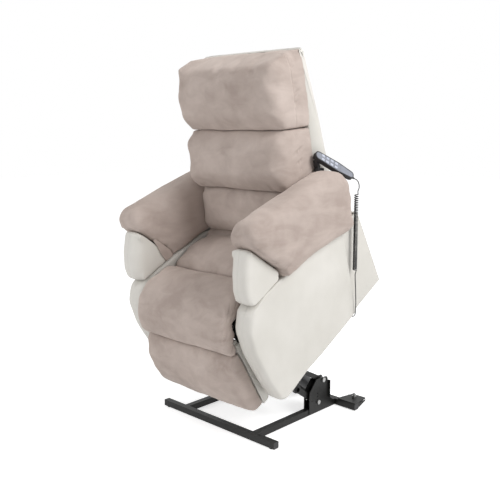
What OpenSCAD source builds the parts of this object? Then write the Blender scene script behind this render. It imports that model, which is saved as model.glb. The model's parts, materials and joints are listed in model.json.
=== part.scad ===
// Lift recliner chair, shown raised and tipped forward, all soft parts in their seams.
// World frame: +X is the sitter's left, the sitter faces -Y, +Z is up, millimetres.
// Chair frame: the same axes while the chair is lowered, with z = 0 on the floor.
// Side profiles are [y, z] pairs, and a third number is the radius of that corner.

/* [Base] */
// Length of the front cross tube
front_tube_l = 642; // [600:2:680]
// How far each end of the rear cross tube stops short of the front one's
rear_inset = 3; // [0:1:12]
// Depth of the base over both cross tubes
base_d = 548; // [530:2:570]
// Side of the square steel tubes
tube_s = 26; // [22:1:28]
// Wall of the square steel tubes
tube_wall = 2; // [1.5:0.5:3]
// Height of the glides under the base
glide_h = 4; // [3:0.5:6]
// Distance from the middle of a base rail out to a seat rail
rail_inset = 11.5; // [11:0.5:14]
// Thickness of the tower plates
tower_t = 3; // [2:0.5:4]
// Height of the towers above the floor
tower_h = 153; // [150:1:160]
// Width of the rear foot plates
foot_plate_w = 91; // [80:1:96]
// Thickness of the rear foot plates
foot_plate_t = 5; // [4:0.5:6]
// Diameter of the levelling foot pads
level_pad_d = 40; // [34:1:46]

/* [Lift linkage] */
// Forward tilt of the raised chair, degrees
tilt = 30; // [26:1:33]
// Height of the lower tower pivot
low_pivot_z = 50; // [48:1:54]
// Y of the lower tower pivot
low_pivot_y = 401; // [396:1:406]
// Height of the upper tower pivot above the lower one
pivot_rise = 91; // [88:1:94]
// Depth of the lift links
link_depth = 20; // [17:1:22]
// Thickness of the lift links
link_t = 10; // [8:1:11]
// Diameter of the linkage bolts
bolt_d = 12; // [10:1:14]
// Diameter of the lift links' torque tube
torque_tube_d = 26; // [22:1:30]

/* [Actuators] */
// Diameter of the actuator rods
rod_d = 20; // [16:1:22]
// Outer diameter of the actuator tubes
sleeve_d = 38; // [34:1:42]
// Diameter of the gear motors
motor_d = 56; // [48:1:60]
// Length of the gear motors
motor_l = 120; // [100:5:130]
// Diameter of the actuators' pivot pins
pin_d = 10; // [8:1:12]

/* [Seat unit] */
// Gap between a seat rail and a side panel
rail_gap = 18; // [16:1:22]
// Thickness of a side panel
panel_t = 92; // [84:2:100]
// Height of the side panels above the floor when lowered
ground_gap = 45; // [42:1:50]
// Height of the seat rails' top when lowered
rail_top = 402; // [398:1:404]
// Rounding between a side panel's face and its front
panel_round = 34; // [20:2:40]
// Thickness of the steel bracket plates
plate_t = 4; // [3:0.5:5]
// Width of the arm pads
arm_pad_w = 126; // [116:2:132]
// Thickness of the rear skirt
skirt_t = 10; // [8:1:12]
// Thickness of the webbing
web_t = 1.5; // [1:0.5:2]

/* [Backrest] */
// Lean of the upright back from vertical, degrees
lean = 17.7; // [16:0.1:19]
// How far the back reclines, degrees
recline = 40; // [30:1:42]
// Width of the back shell
shell_w = 504; // [490:2:506]
// Wall of the back shell
shell_wall = 10; // [8:1:12]
// Gap between the back shell and a side panel
shell_gap = 6; // [5:1:10]
// Gap between the shell's wall and the wooden back frame
frame_gap = 9; // [4:1:12]
// Length of the back shell and frame up from the hinge
back_h = 672; // [640:2:690]

/* [Legrest] */
// How far the legrest swings up, degrees
leg_swing = 80; // [60:1:82]
// Thickness of the legrest board
board_t = 18; // [12:1:20]
// Gap between a legrest pad and a side panel
leg_pad_gap = 8; // [6:1:20]

/* [Handset] */
// Length of the handset
handset_l = 186; // [176:1:192]
// Width of the handset
handset_w = 46; // [42:1:52]
// Thickness of the handset
handset_t = 20; // [18:1:24]
// Travel of a button
button_travel = 1; // [0.6:0.1:1.5]

/* [Cord] */
// Thickness of the cord
cord_d = 3.8; // [3.4:0.1:4.2]
// Outer diameter of the curly stretch
curl_d = 18.5; // [17:0.5:20]
// Number of curls
curls = 58; // [50:1:60]

/* [Hidden] */

// Widths that follow the back shell's
panel_in = shell_w / 2 + shell_gap;
panel_out = panel_in + panel_t;
rail_out = panel_in - rail_gap;
rail_in = rail_out - 30;
rail_x = rail_in - rail_inset;
back_out = shell_w / 2 - shell_wall - frame_gap;
board_w = 2 * rail_out;
leg_pad_w = 2 * (panel_in - leg_pad_gap);
rear_tube_l = front_tube_l - 2 * rear_inset;

fit = 0.05;          // running clearance of a shaft, each side
seat_gap = 0.3;      // gap between soft or seated pieces
cream = [0.90, 0.89, 0.85];
suede = [0.70, 0.64, 0.60];
steel = [0.18, 0.18, 0.18];
zinc = [0.75, 0.76, 0.78];
wood = [0.78, 0.66, 0.48];
plastic = [0.12, 0.12, 0.13];

// ---------------------------------------------------------------- plane geometry

function turn(p, a) = [p[0] * cos(a) - p[1] * sin(a), p[0] * sin(a) + p[1] * cos(a)];
function unit(v) = v / norm(v);
function dir(a) = [cos(a), sin(a)];
function bearing(v) = atan2(v[1], v[0]);
function mix(a, b, u) = a + (b - a) * u;
function swap(p) = [p[0], p[1]];

// The point d away from p, with d's radius if it has one
function off(p, d) = len(d) > 2 ? [p[0] + d[0], p[1] + d[1], d[2]] : p + d;

// The arc that rounds corner b between a and c
function corner(a, b, c, r) =
  let (p = unit(a - b), q = unit(c - b), half = acos(p * q) / 2, reach = r / tan(half))
  let (o = b + unit(p + q) * r / sin(half), s = b + p * reach, e = b + q * reach)
  let (from = bearing(s - o), raw = bearing(e - o) - from)
  let (sweep = raw > 180 ? raw - 360 : raw < -180 ? raw + 360 : raw, n = max(2, ceil(abs(sweep) / 22)))
  [for (i = [0:n]) o + r * dir(from + sweep * i / n)];

// An outline with its corners rounded
function rounded(pts) = [
  for (i = [0:len(pts) - 1])
    let (n = len(pts), b = pts[i], a = pts[(i + n - 1) % n], c = pts[(i + 1) % n])
    each (len(b) > 2 && b[2] > 0 ? corner(swap(a), swap(b), swap(c), b[2]) : [swap(b)])
];

// Outward normals of a counter-clockwise outline
function normals(o) = [
  for (i = [0:len(o) - 1])
    let (n = len(o), t = unit(o[(i + 1) % n] - o[(i + n - 1) % n])) [t[1], -t[0]]
];

// Draws an outline of the side profile as a slab from x0 to x1
module slab(x0, x1) {
  translate([x0, 0, 0]) rotate([90, 0, 90]) linear_extrude(x1 - x0) children();
}

// The same on both sides of the chair, from distance a to distance b off its middle
module both(a, b) {
  slab(a, b) children();
  slab(-b, -a) children();
}

module rod_x(y, z, r, x0, x1) {
  translate([x0, y, z]) rotate([0, 90, 0]) cylinder(r = r, h = x1 - x0, $fn = 48);
}

module rod_both(p, r, a, b) {
  for (x = [a, -b]) rod_x(p[0], p[1], r, x, x + b - a);
}

// A solid through rings of equal length, each ring counter-clockwise seen from +X
module skin(rings) {
  n = len(rings[0]);
  m = len(rings);
  points = [for (r = rings) each r];
  faces = [
    for (i = [0:m - 2], j = [0:n - 1])
      let (k = (j + 1) % n, a = i * n + j, b = i * n + k, c = a + n, d = b + n)
      each [[a, c, d], [a, d, b]],
    [for (j = [0:n - 1]) j],
    [for (j = [n - 1:-1:0]) (m - 1) * n + j]
  ];
  polyhedron(points, faces);
}

// A stuffed form: an outline spread from x0 to x1, its sides rolled in by r0 and r1,
// its middle crowned outwards along the direction puff. roll is how much of the side
// rounding an outline point takes, from 0 to 1, by how far it faces along soft.
function stuffed(o, x0, x1, r0, r1, crown, puff, soft, low = 0.2) =
  let (nrm = normals(o), arc = [0, 32, 62, 90])
  let (stations = [
    for (a = arc) [x0 + r0 * (1 - cos(a)), r0 * (1 - sin(a))],
    for (u = crown > 0 ? [0.3, 0.5, 0.7] : []) [mix(x0, x1, u), 0],
    for (k = [3:-1:0]) [x1 - r1 * (1 - cos(arc[k])), r1 * (1 - sin(arc[k]))]
  ])
  [for (s = stations)
    let (w = 2 * (s[0] - x0) / (x1 - x0) - 1, bulge = crown * (1 - w * w))
    [for (i = [0:len(o) - 1])
      let (face = max(0, nrm[i] * puff), give = low + (1 - low) * max(0, nrm[i] * soft))
      let (p = o[i] + nrm[i] * (bulge * face * face - s[1] * give))
      [s[0], p[0], p[1]]]];

// ---------------------------------------------------------------- lift linkage

low_anchor = [low_pivot_y, low_pivot_z];
top_anchor = low_anchor + [32, pivot_rise];
raised_at = [-55.8, 96.6];     // chair frame's origin when raised
lowered_at = [-205, 0];        // and when lowered
low_seat_y = 190;              // chair-frame y of the lower links' seat pivot
top_seat_y = 220;              // and of the upper links'

function raised(p) = raised_at + turn(p, tilt);
function from_raised(w) = turn(w - raised_at, -tilt);
function lowered(p) = p + lowered_at;

// The chair-frame point at y that is as far from the anchor when raised as when lowered
function seat_pivot(anchor, y) =
  let (r = from_raised(anchor), l = anchor - lowered_at, m = (r + l) / 2, t = turn(l - r, 90))
  m + t * (y - m[0]) / t[0];

low_seat = seat_pivot(low_anchor, low_seat_y);
top_seat = seat_pivot(top_anchor, top_seat_y);
low_len = norm(raised(low_seat) - low_anchor);
top_len = norm(raised(top_seat) - top_anchor);
low_bearing = [bearing(raised(low_seat) - low_anchor), bearing(lowered(low_seat) - low_anchor)];
top_bearing = [bearing(raised(top_seat) - top_anchor), bearing(lowered(top_seat) - top_anchor)];

// Where a world point lies in the chair frame when the lift has gone down by u, 0 to 1
function in_chair(w, u) =
  let (pivot = low_anchor + low_len * dir(mix(low_bearing[0], low_bearing[1], u)))
  low_seat + turn(w - pivot, -tilt * (1 - u));

steps = [for (k = [0:8]) k / 8];

// Path of the upper links' studs in the chair frame, because the drive ratios are constant
stud_path = [
  for (u = steps) in_chair(top_anchor + top_len * dir(mix(top_bearing[0], top_bearing[1], u)), u)
];

// An actuator from pivot c, with its pin at p when drawn and at q at the end of travel
function pin_place(c, p, q, u) =
  c + mix(norm(p - c), norm(q - c), u) * dir(mix(bearing(p - c), bearing(q - c), u));

lift_foot = [base_d - tube_s / 2, 50];     // world
lift_pin = [270, 210];                     // chair frame
lift_ends = [raised(lift_pin), lowered(lift_pin)];
lift_path = [for (u = steps) in_chair(pin_place(lift_foot, lift_ends[0], lift_ends[1], u), u)];

back_hinge = [600, 400];
back_foot = [320, 290];
back_pin = [640, 340];
back_ends = [back_pin, back_hinge + turn(back_pin - back_hinge, -recline)];
back_path = [
  for (u = steps)
    back_hinge + turn(pin_place(back_foot, back_ends[0], back_ends[1], u) - back_hinge, recline * u)
];

leg_hinge = [122, rail_top - 10];
leg_foot = [480, 205];
leg_pin = leg_hinge + [18, -76];
leg_ends = [leg_pin, leg_hinge + turn(leg_pin - leg_hinge, -leg_swing)];
leg_path = [
  for (u = steps)
    leg_hinge + turn(pin_place(leg_foot, leg_ends[0], leg_ends[1], u) - leg_hinge, leg_swing * u)
];

echo(low_seat = low_seat, top_seat = top_seat, low_bearing = low_bearing, top_bearing = top_bearing);
echo(lift = lift_foot, lift_ends = lift_ends, back = back_foot, back_ends = back_ends);
echo(leg = leg_foot, leg_ends = leg_ends, leg_hinge = leg_hinge, back_hinge = back_hinge);

// The hole that a pin of diameter d needs to follow a path
module path_slot(path, d) {
  hull() for (p = path) translate(p) circle(d = d, $fn = 32);
}

module disc(p, r) {
  translate(p) circle(r = r, $fn = 48);
}

module on_chair() {
  translate([0, raised_at[0], raised_at[1]]) rotate([tilt, 0, 0]) children();
}

module in_world() {
  translate([0, -origin_y, 0]) children();
}

// The box of the whole chair is centred on the world origin
front_reach = -203.15;
origin_y = (front_reach + raised([850, ground_gap])[0]) / 2;

// ---------------------------------------------------------------- base

base_z = glide_h;
base_top = base_z + tube_s;
rail_half = tube_s / 2 - 0.5;
tower_in = rail_x - rail_half - tower_t;
tower_out = rail_x + rail_half + tower_t;

module square_tube(l) {
  difference() {
    translate([-l / 2, 0, base_z]) cube([l, tube_s, tube_s]);
    translate([-l / 2 - 1, tube_wall, base_z + tube_wall])
      cube([l + 2, tube_s - 2 * tube_wall, tube_s - 2 * tube_wall]);
  }
}

module front_tube() {
  color(steel) in_world() square_tube(front_tube_l - 4);
}

module rear_tube() {
  color(steel) in_world() translate([0, base_d - tube_s, 0]) square_tube(rear_tube_l - 4);
}

module side_rails() {
  color(steel) in_world() for (x = [-rail_x, rail_x]) difference() {
    translate([x - rail_half, tube_s, base_z]) cube([2 * rail_half, base_d - 2 * tube_s, tube_s]);
    translate([x - rail_half + tube_wall, tube_s - 1, base_z + tube_wall])
      cube([2 * (rail_half - tube_wall), base_d, tube_s - 2 * tube_wall]);
  }
}

module end_caps() {
  plug = tube_s - 2 * tube_wall;
  color(plastic) in_world() for (s = [-1, 1], e = [[front_tube_l, 0], [rear_tube_l, base_d - tube_s]])
    translate([s * (e[0] / 2 - 2), e[1], base_z]) mirror([s < 0 ? 1 : 0, 0, 0]) {
      cube([2, tube_s, tube_s]);
      translate([-16, tube_wall, tube_wall]) cube([16, plug, plug]);
    }
  color(plastic) in_world() for (x = [-1, 1])
    translate([x * (front_tube_l / 2 - 22), tube_s / 2, 0]) cylinder(d = 22, h = glide_h, $fn = 32);
}

// Outline of a tower plate, world y and z
tower_y0 = low_pivot_y - 58;
tower_outline = rounded([
  [tower_y0, 8], [tower_y0 + 171, 8], [tower_y0 + 171, 26], [tower_y0 + 122, 62],
  [tower_y0 + 122, tower_h - 13], [tower_y0 + 115, tower_h - 3, 3], [tower_y0 + 75, tower_h, 4],
  [tower_y0 + 45, tower_h - 1, 4], [tower_y0, tower_h - 50, 6]
]);

module tower() {
  in_world() difference() {
    union() {
      for (x = [tower_in, tower_out - tower_t]) slab(x, x + tower_t) polygon(tower_outline);
      translate([tower_in, tower_y0 + 119, base_top]) cube([tower_out - tower_in, tower_t, 92]);
      translate([tower_out - 1, tower_y0 + 126, base_top + 26]) cube([11, tower_t, tower_h - 78]);
      translate([tower_out - tower_t, tower_y0 + 118, base_top + 26]) cube([tower_t, 11, tower_h - 78]);
    }
    for (p = [low_anchor, top_anchor])
      rod_x(p[0], p[1], bolt_d / 2 + fit, tower_in - 1, tower_out + 1);
    for (z = [76, 89]) rod_x(low_pivot_y - 4, z, 3, tower_in - 1, tower_out + 1);
    rod_x(low_pivot_y - 43, 64, 3, tower_in - 1, tower_out + 1);
  }
}

module towers() {
  color(steel) for (s = [0, 1]) mirror([s, 0, 0]) tower();
}

module tower_bolts() {
  color(zinc) in_world() for (p = [low_anchor, top_anchor]) {
    rod_both(p, bolt_d / 2, tower_in - 4, tower_out + 4);
    rod_both(p, bolt_d * 0.8, tower_out + seat_gap, tower_out + 6);
    rod_both(p, bolt_d * 0.8, tower_in - 8, tower_in - seat_gap);
  }
  color(zinc) in_world() pivot_pin(0, lift_foot);
}

module tower_spacers() {
  color(zinc) in_world() for (p = [low_anchor, top_anchor], r = [
      [tower_in + tower_t + seat_gap, rail_x - link_t / 2 - seat_gap],
      [rail_x + link_t / 2 + seat_gap, tower_out - tower_t - seat_gap]])
    difference() {
      rod_both(p, bolt_d / 2 + 3.5, r[0], r[1]);
      rod_both(p, bolt_d / 2 + fit, r[0] - 1, r[1] + 1);
    }
}

level_at = [rear_tube_l / 2 - foot_plate_w / 2, base_d + 33];

module foot_plates() {
  plate_z = base_top;
  inner = rear_tube_l / 2 - foot_plate_w;
  color(steel) in_world() for (s = [0, 1]) mirror([s, 0, 0]) {
    difference() {
      translate([0, 0, plate_z]) linear_extrude(foot_plate_t) polygon([
        [inner, base_d - tube_s + 2], [rear_tube_l / 2, base_d - tube_s + 2], [rear_tube_l / 2, base_d],
        [rear_tube_l / 2 - 8, base_d + 66], [inner + 15, base_d + 66], [inner, base_d]]);
      translate([level_at[0], level_at[1], plate_z - 1]) cylinder(d = 12.2, h = foot_plate_t + 2, $fn = 48);
    }
    for (x = [[inner, 4], [rear_tube_l / 2 - 4, -4]]) translate([x[0], base_d, 0]) rotate([90, 0, 90])
      linear_extrude(4) polygon([[0, base_z + 4], [0, plate_z], [58, plate_z], [50, plate_z - 5]]);
  }
}

module levelling_feet() {
  color(zinc) in_world() for (s = [-1, 1]) translate([s * level_at[0], level_at[1], 0]) {
    cylinder(d1 = level_pad_d, d2 = level_pad_d - 8, h = 8, $fn = 48);
    cylinder(d = 12, h = 54, $fn = 48);
    for (z = [base_top - 8.3, base_top + foot_plate_t + 0.3]) translate([0, 0, z]) cylinder(d = 21, h = 8, $fn = 6);
  }
}

module lift_bracket() {
  base = [lift_foot[0], base_top + 3];
  color(steel) in_world() {
    translate([-30, base_d - tube_s, base_top]) cube([60, tube_s, 4]);
    for (s = [-1, 1]) slab(s * 13 - plate_t / 2, s * 13 + plate_t / 2) difference() {
      polygon(rounded([[base[0] - 13, base_top], [base[0] + 13, base_top], [base[0] + 13, lift_foot[1] + 13, 10],
        [base[0] - 13, lift_foot[1] + 13, 10]]));
      disc(lift_foot, pin_d / 2 + fit);
    }
  }
}

module pivot_pin(x, p) {
  rod_x(p[0], p[1], pin_d / 2, x - 18, x + 18);
  rod_x(p[0], p[1], pin_d * 0.8, x + 15 + seat_gap, x + 18);
}

// ---------------------------------------------------------------- links

// A flat bar from p to q with round ends
module bar(p, q, w, hole_p, hole_q) {
  difference() {
    hull() {
      disc(p, w / 2 + 2);
      disc(q, w / 2 + 2);
    }
    disc(p, hole_p / 2 + fit);
    disc(q, hole_q / 2 + fit);
  }
}

torque_at = low_anchor + 150 * dir(low_bearing[0]);

module lower_links() {
  a = rail_x - link_t / 2;
  color(steel) in_world() both(a, a + link_t) difference() {
    union() {
      bar(low_anchor, raised(low_seat), link_depth, bolt_d, bolt_d);
      polygon(rounded([torque_at + 46 * dir(low_bearing[0] + 180), torque_at + [16, -19], torque_at - [14, 12],
        torque_at + 64 * dir(low_bearing[0]), torque_at + turn([10, -26], low_bearing[0])]));
    }
    disc(torque_at, torque_tube_d / 2 + fit);
  }
}

module torque_tube() {
  color(steel) in_world() difference() {
    rod_x(torque_at[0], torque_at[1], torque_tube_d / 2, -rail_x - link_t / 2 - 2, rail_x + link_t / 2 + 2);
    rod_x(torque_at[0], torque_at[1], torque_tube_d / 2 - 3, -rail_x - 20, rail_x + 20);
  }
}

module upper_links() {
  a = rail_x - link_t / 2;
  color(steel) {
    in_world() both(a, a + link_t) bar(top_anchor, raised(top_seat), link_depth - 4, bolt_d, bolt_d - 2);
    upper_link_studs();
  }
}

link_plate_in = rail_x + 7.5;
link_plate_out = link_plate_in + plate_t;

module upper_link_studs() {
  p = raised(top_seat);
  in_world() {
    rod_both(p, bolt_d / 2, rail_x - link_t / 2 - 4, link_plate_out + 6);
    rod_both(p, bolt_d * 0.8, rail_x - link_t / 2 - 7, rail_x - link_t / 2 - seat_gap);
    rod_both(p, bolt_d * 0.8, link_plate_out + seat_gap, link_plate_out + 6);
  }
}

// ---------------------------------------------------------------- actuators

// Housing of an actuator at x, its pivot at c and its pin at p, reach is its shortest length.
// hang turns the motor about the tube: 0 beside it, 90 under it
module housing(x, c, p, reach, hang) {
  translate([x, c[0], c[1]]) rotate([bearing(p - c), 0, 0]) difference() {
    union() {
      rod_x(0, 0, 13, -10, 10);
      translate([-9, 0, -11]) cube([18, 30, 22]);
      slab(-30, 30) polygon(rounded([[24, -30, 8], [96, -30, 12], [96, 30, 12], [24, 30, 8]]));
      translate([0, 90, 0]) rotate([-90, 0, 0]) cylinder(d = sleeve_d, h = reach - 90 - 34, $fn = 48);
      translate([0, reach - 50, 0]) rotate([-90, 0, 0]) cylinder(d = sleeve_d + 4, h = 16, $fn = 48);
      rotate([0, hang, 0]) translate([61, 60, 0]) {
        translate([-36, -28, -22]) cube([36, 56, 44]);
        translate([0, -30, 0]) rotate([-90, 0, 0]) cylinder(d = motor_d, h = motor_l, $fn = 48);
        translate([0, -34, 0]) rotate([-90, 0, 0]) cylinder(d = motor_d - 10, h = motor_l + 8, $fn = 48);
      }
    }
    rod_x(0, 0, pin_d / 2 + fit, -20, 20);
    translate([0, 110, 0]) rotate([-90, 0, 0]) cylinder(d = rod_d + 2 * fit, h = reach, $fn = 64);
  }
}

// Rod of that actuator, with its cross pin
module piston(x, c, p, q) {
  l = norm(p - c);
  shortest = min(l, norm(q - c));
  tail = shortest - 112 - 18;
  translate([x, c[0], c[1]]) rotate([bearing(p - c), 0, 0]) {
    translate([0, l - tail, 0]) rotate([-90, 0, 0]) cylinder(d = rod_d, h = tail - 12, $fn = 64);
    difference() {
      rod_x(l, 0, 14, -10, 10);
      rod_x(l, 0, pin_d / 2 - 1, -20, 20);
    }
    rod_x(l, 0, pin_d / 2, -20, 20);
  }
}

back_x = 130;
leg_x = -110;

module lift_actuator() {
  color(plastic) in_world() housing(0, lift_foot, lift_ends[0], norm(lift_ends[1] - lift_foot), 0);
}

module lift_rod() {
  color(zinc) in_world() piston(0, lift_foot, lift_ends[0], lift_ends[1]);
}

module back_actuator() {
  color(plastic) in_world() on_chair() housing(back_x, back_foot, back_pin, norm(back_ends[1] - back_foot), 90);
}

module back_rod() {
  color(zinc) in_world() on_chair() piston(back_x, back_foot, back_pin, back_ends[1]);
}

module leg_actuator() {
  color(plastic) in_world() on_chair() housing(leg_x, leg_foot, leg_pin, norm(leg_pin - leg_foot), -90);
}

module leg_rod() {
  color(zinc) in_world() on_chair() piston(leg_x, leg_foot, leg_pin, leg_ends[1]);
}

// ---------------------------------------------------------------- seat chassis

rail_h = 62;
rail_y = [140, 570];
front_cross = [225, 228];
rear_cross = [505, 262];
cross_d = 30;

module link_plates() {
  color(steel) in_world() on_chair() both(link_plate_in, min(link_plate_out, rail_in)) difference() {
    polygon(rounded([
      [low_seat[0] - 24, low_seat[1] - 20, 16], [low_seat[0] + 20, low_seat[1] - 22, 16],
      [top_seat[0] + 42, top_seat[1] - 4, 24], [310, rail_top - 40], [310, rail_top - 6, 6],
      [rail_y[0] + 26, rail_top - 6, 6], [rail_y[0] + 26, rail_top - 60]]));
    disc(low_seat, bolt_d / 2 + fit);
    path_slot(stud_path, bolt_d + 1);
    disc(front_cross, cross_d / 2 + fit);
  }
  color(steel) in_world() on_chair() both(link_plate_in, min(link_plate_out, rail_in)) difference() {
    polygon(rounded([[rear_cross[0] - 22, rear_cross[1] - 22, 18], [rear_cross[0] + 22, rear_cross[1] - 22, 18],
      [rear_cross[0] + 26, rail_top - 6, 6], [rear_cross[0] - 46, rail_top - 6, 6]]));
    disc(rear_cross, cross_d / 2 + fit);
  }
}

module link_bolts() {
  {
    rod_both(low_seat, bolt_d / 2, rail_x - link_t / 2 - 4, link_plate_out + 6);
    rod_both(low_seat, bolt_d * 0.8, rail_x - link_t / 2 - 8, rail_x - link_t / 2 - seat_gap);
    rod_both(low_seat, bolt_d * 0.8, link_plate_out + seat_gap, link_plate_out + 6);
    rod_both(low_seat, bolt_d * 0.8, rail_x + link_t / 2 + seat_gap, link_plate_in - seat_gap);
  }
}

// A cross tube between the link plates
module cross_tube(p) {
  difference() {
    rod_x(p[0], p[1], cross_d / 2, -link_plate_out, link_plate_out);
    rod_x(p[0], p[1], cross_d / 2 - 2.5, -link_plate_out - 1, link_plate_out + 1);
  }
}

module front_cross_tube() {
  color(steel) in_world() on_chair() {
    difference() {
      union() {
        cross_tube(front_cross);
        for (s = [-1, 1]) slab(s * 13 - plate_t / 2, s * 13 + plate_t / 2) difference() {
          polygon(rounded([front_cross + [-10, 6], front_cross + [-2, -16], lift_pin + [-6, -26], lift_pin + [25, -22],
            lift_pin + [25, 14], front_cross + [10, 10]]));
          path_slot(lift_path, pin_d + 1);
        }
        for (s = [-1, 1]) slab(back_x + s * 13 - plate_t / 2, back_x + s * 13 + plate_t / 2) difference() {
          polygon(rounded([front_cross + [-8, 8], front_cross + [8, -12], back_foot + [14, -14],
            back_foot + [14, 12], back_foot + [-12, 14]]));
          disc(back_foot, pin_d / 2 + fit);
        }
      }
      rod_x(front_cross[0], front_cross[1], cross_d / 2 - 2.5, -150, 150);
    }
  }
}

module rear_cross_tube() {
  color(steel) in_world() on_chair() difference() {
    union() {
      cross_tube(rear_cross);
      for (s = [-1, 1]) slab(leg_x + s * 13 - plate_t / 2, leg_x + s * 13 + plate_t / 2) difference() {
        polygon(rounded([rear_cross + [-14, 4], leg_foot + [-16, 0], leg_foot + [-10, -14], leg_foot + [12, -14],
          rear_cross + [14, -4]]));
        disc(leg_foot, pin_d / 2 + fit);
      }
    }
    rod_x(rear_cross[0], rear_cross[1], cross_d / 2 - 2.5, -150, 150);
  }
}

module seat_side_rails() {
  color(wood) in_world() on_chair() {
    both(rail_in, rail_out) polygon([[rail_y[0], rail_top - rail_h], [rail_y[1], rail_top - rail_h],
      [rail_y[1], rail_top], [rail_y[0], rail_top]]);
    for (s = [0, 1], y = [232, 450]) mirror([s, 0, 0])
      translate([rail_out, y, rail_top - rail_h]) cube([panel_in - rail_out, 60, 50]);
  }
}

module seat_cross_rails() {
  color(wood) in_world() on_chair() for (y = [rail_y[0], rail_y[1] - 27])
    translate([-rail_in, y, rail_top - 45]) cube([2 * rail_in, 25, 45]);
}

ear_out = rail_out + plate_t;

module hinge_ears() {
  color(steel) in_world() on_chair() both(rail_out, ear_out) {
    difference() {
      polygon(rounded([off(leg_hinge, [-14, -14, 13]), [215, rail_top - 45, 6], [215, rail_top - 6, 6],
        off(leg_hinge, [-14, 8, 8])]));
      disc(leg_hinge, 4 + fit);
    }
    difference() {
      polygon(rounded([[530, rail_top - 45, 6], off(back_hinge, [18, -18, 17]), off(back_hinge, [18, 14, 14]),
        off(back_hinge, [-12, 14, 10]), off(back_hinge, [-20, 0, 6]), [530, rail_top - 2, 6]]));
      disc(back_hinge, 6 + fit);
    }
  }
}

module chassis_bolts() {
  color(zinc) in_world() on_chair() {
    for (h = [[leg_hinge, 4], [back_hinge, 6]]) {
      rod_both(h[0], h[1], rail_out - 6.4, ear_out + 3);
      rod_both(h[0], h[1] + 4, ear_out + seat_gap, ear_out + 4);
      rod_both(h[0], h[1] + 4, rail_out - 6.4, rail_out - 5.2);
    }
    pivot_pin(back_x, back_foot);
    pivot_pin(leg_x, leg_foot);
    link_bolts();
  }
}

module seat_webbing() {
  color(plastic) in_world() on_chair() for (x = [-160:80:160])
    translate([x - 25, rail_y[0], rail_top]) cube([50, rail_y[1] - 2 - rail_y[0], web_t]);
}

module control_box() {
  color(plastic) in_world() on_chair() difference() {
    union() {
      slab(-60, 80) polygon(rounded([[470, rail_top - 58, 6], [rail_y[1] - 27.3, rail_top - 58, 6],
        [rail_y[1] - 27.3, rail_top - 4, 6], [470, rail_top - 4, 6]]));
    }
    translate([-45, 469, rail_top - 44]) cube([30, 14, 20]);
    for (x = [0:18:54]) translate([x, 469, rail_top - 40]) cube([12, 8, 12]);
  }
}

// ---------------------------------------------------------------- upholstered panels

panel_outline = rounded([
  [118, ground_gap, 34], [641, ground_gap], [716, 402, 12], [540, 447], [336, 464],
  [245, 467, 30], [165, 447, 50], [114, 398, 60], [97, 305, 100], [101, 165, 80]
]);

// Left side panel: flat inside, its front rolled round to the outer face
module side_panel() {
  in_world() on_chair()
    skin(stuffed(panel_outline, panel_in + seat_gap, panel_out, 24, panel_round, 0, [0, 0], [-1, 0], 0.1));
}

module side_panel_left() {
  color(cream) side_panel();
}

module side_panel_right() {
  color(cream) mirror([1, 0, 0]) side_panel();
}

arm_base = 468;
arm_front_outline = rounded([
  [180, arm_base + seat_gap, 20], [326, arm_base - 2, 3], [342, 496, 4], [257, 647, 4],
  [250, 628, 20], [206, 584, 50], [176, 528, 50], [169, 492, 26]
]);

module arm_front() {
  in_world() on_chair()
    skin(stuffed(arm_front_outline, panel_in + seat_gap, panel_out, 24, 34, 0, [0, 0], [-0.9, 0.43], 0.06));
}

module arm_front_left() {
  color(cream) arm_front();
}

module arm_front_right() {
  color(cream) mirror([1, 0, 0]) arm_front();
}

arm_pad_outline = rounded([
  [337, 464 + seat_gap, 6], [540, 447 + seat_gap], [716, 402 + seat_gap, 20], [788, 400 + seat_gap, 24],
  [829, 505, 60], [836, 571, 50], [800, 618, 50], [762, 642, 50], [726, 661], [516, 708], [378, 730],
  [286, 739, 46], [256, 706, 40], [253, 656, 10], [257.6, 648, 3], [342.6, 496.6, 8]
]);
arm_pad_in = panel_in - 1.5;

module arm_pad() {
  in_world() on_chair()
    skin(stuffed(arm_pad_outline, arm_pad_in, arm_pad_in + arm_pad_w, 46, 56, 0, [0, 0], [-0.25, 0.97], 0.05));
}

module arm_pad_left() {
  color(suede) arm_pad();
}

module arm_pad_right() {
  color(suede) mirror([1, 0, 0]) arm_pad();
}

skirt_y = 850;
skirt_x = panel_out - 15;

module rear_skirt() {
  notch = shell_w / 2 + 6;
  color(cream) in_world() on_chair() difference() {
    union() {
      both(skirt_x - skirt_t, skirt_x)
        polygon(rounded([[641.1, ground_gap], [skirt_y, ground_gap, 6], [skirt_y, 400, 10], [716.1, 400]]));
      translate([-skirt_x, skirt_y - skirt_t, ground_gap]) cube([2 * skirt_x, skirt_t, 355]);
    }
    translate([-notch, skirt_y - skirt_t - 1, 275]) cube([2 * notch, skirt_t + 2, 200]);
  }
}

// ---------------------------------------------------------------- cushions

function back_line(z) = 718 + tan(lean) * (z - 440);

seat_outline = rounded([
  [322, rail_top + 2, 8], [578, rail_top + 2, 6], [577, 421, 8], [556, 428, 14], [505, 450, 40],
  [430, 462, 60], [345, 454, 24], [322, 430, 12]
]);

module seat_cushion() {
  w = panel_in - 6;
  color(suede) in_world() on_chair()
    skin(stuffed(seat_outline, -w, w, 26, 26, 13, [0, 1], [0, 1], 0.1));
}

knee_r = 57;
leg_r = 58.5;
knee_outline = rounded([
  [128, 360], [128, rail_top + 2], [316, rail_top + 2, 8], [321, 438, 12], [285, 464, 30],
  [170, 476, 60], [102, 452, 20], each [for (a = [150:10:200]) leg_hinge + knee_r * dir(a)]
]);

module knee_pad() {
  w = rail_out - 6.7;
  color(suede) in_world() on_chair()
    skin(stuffed(knee_outline, -w, w, 22, 22, 0, [0, 0], [0, 1], 0.3));
}

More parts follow.
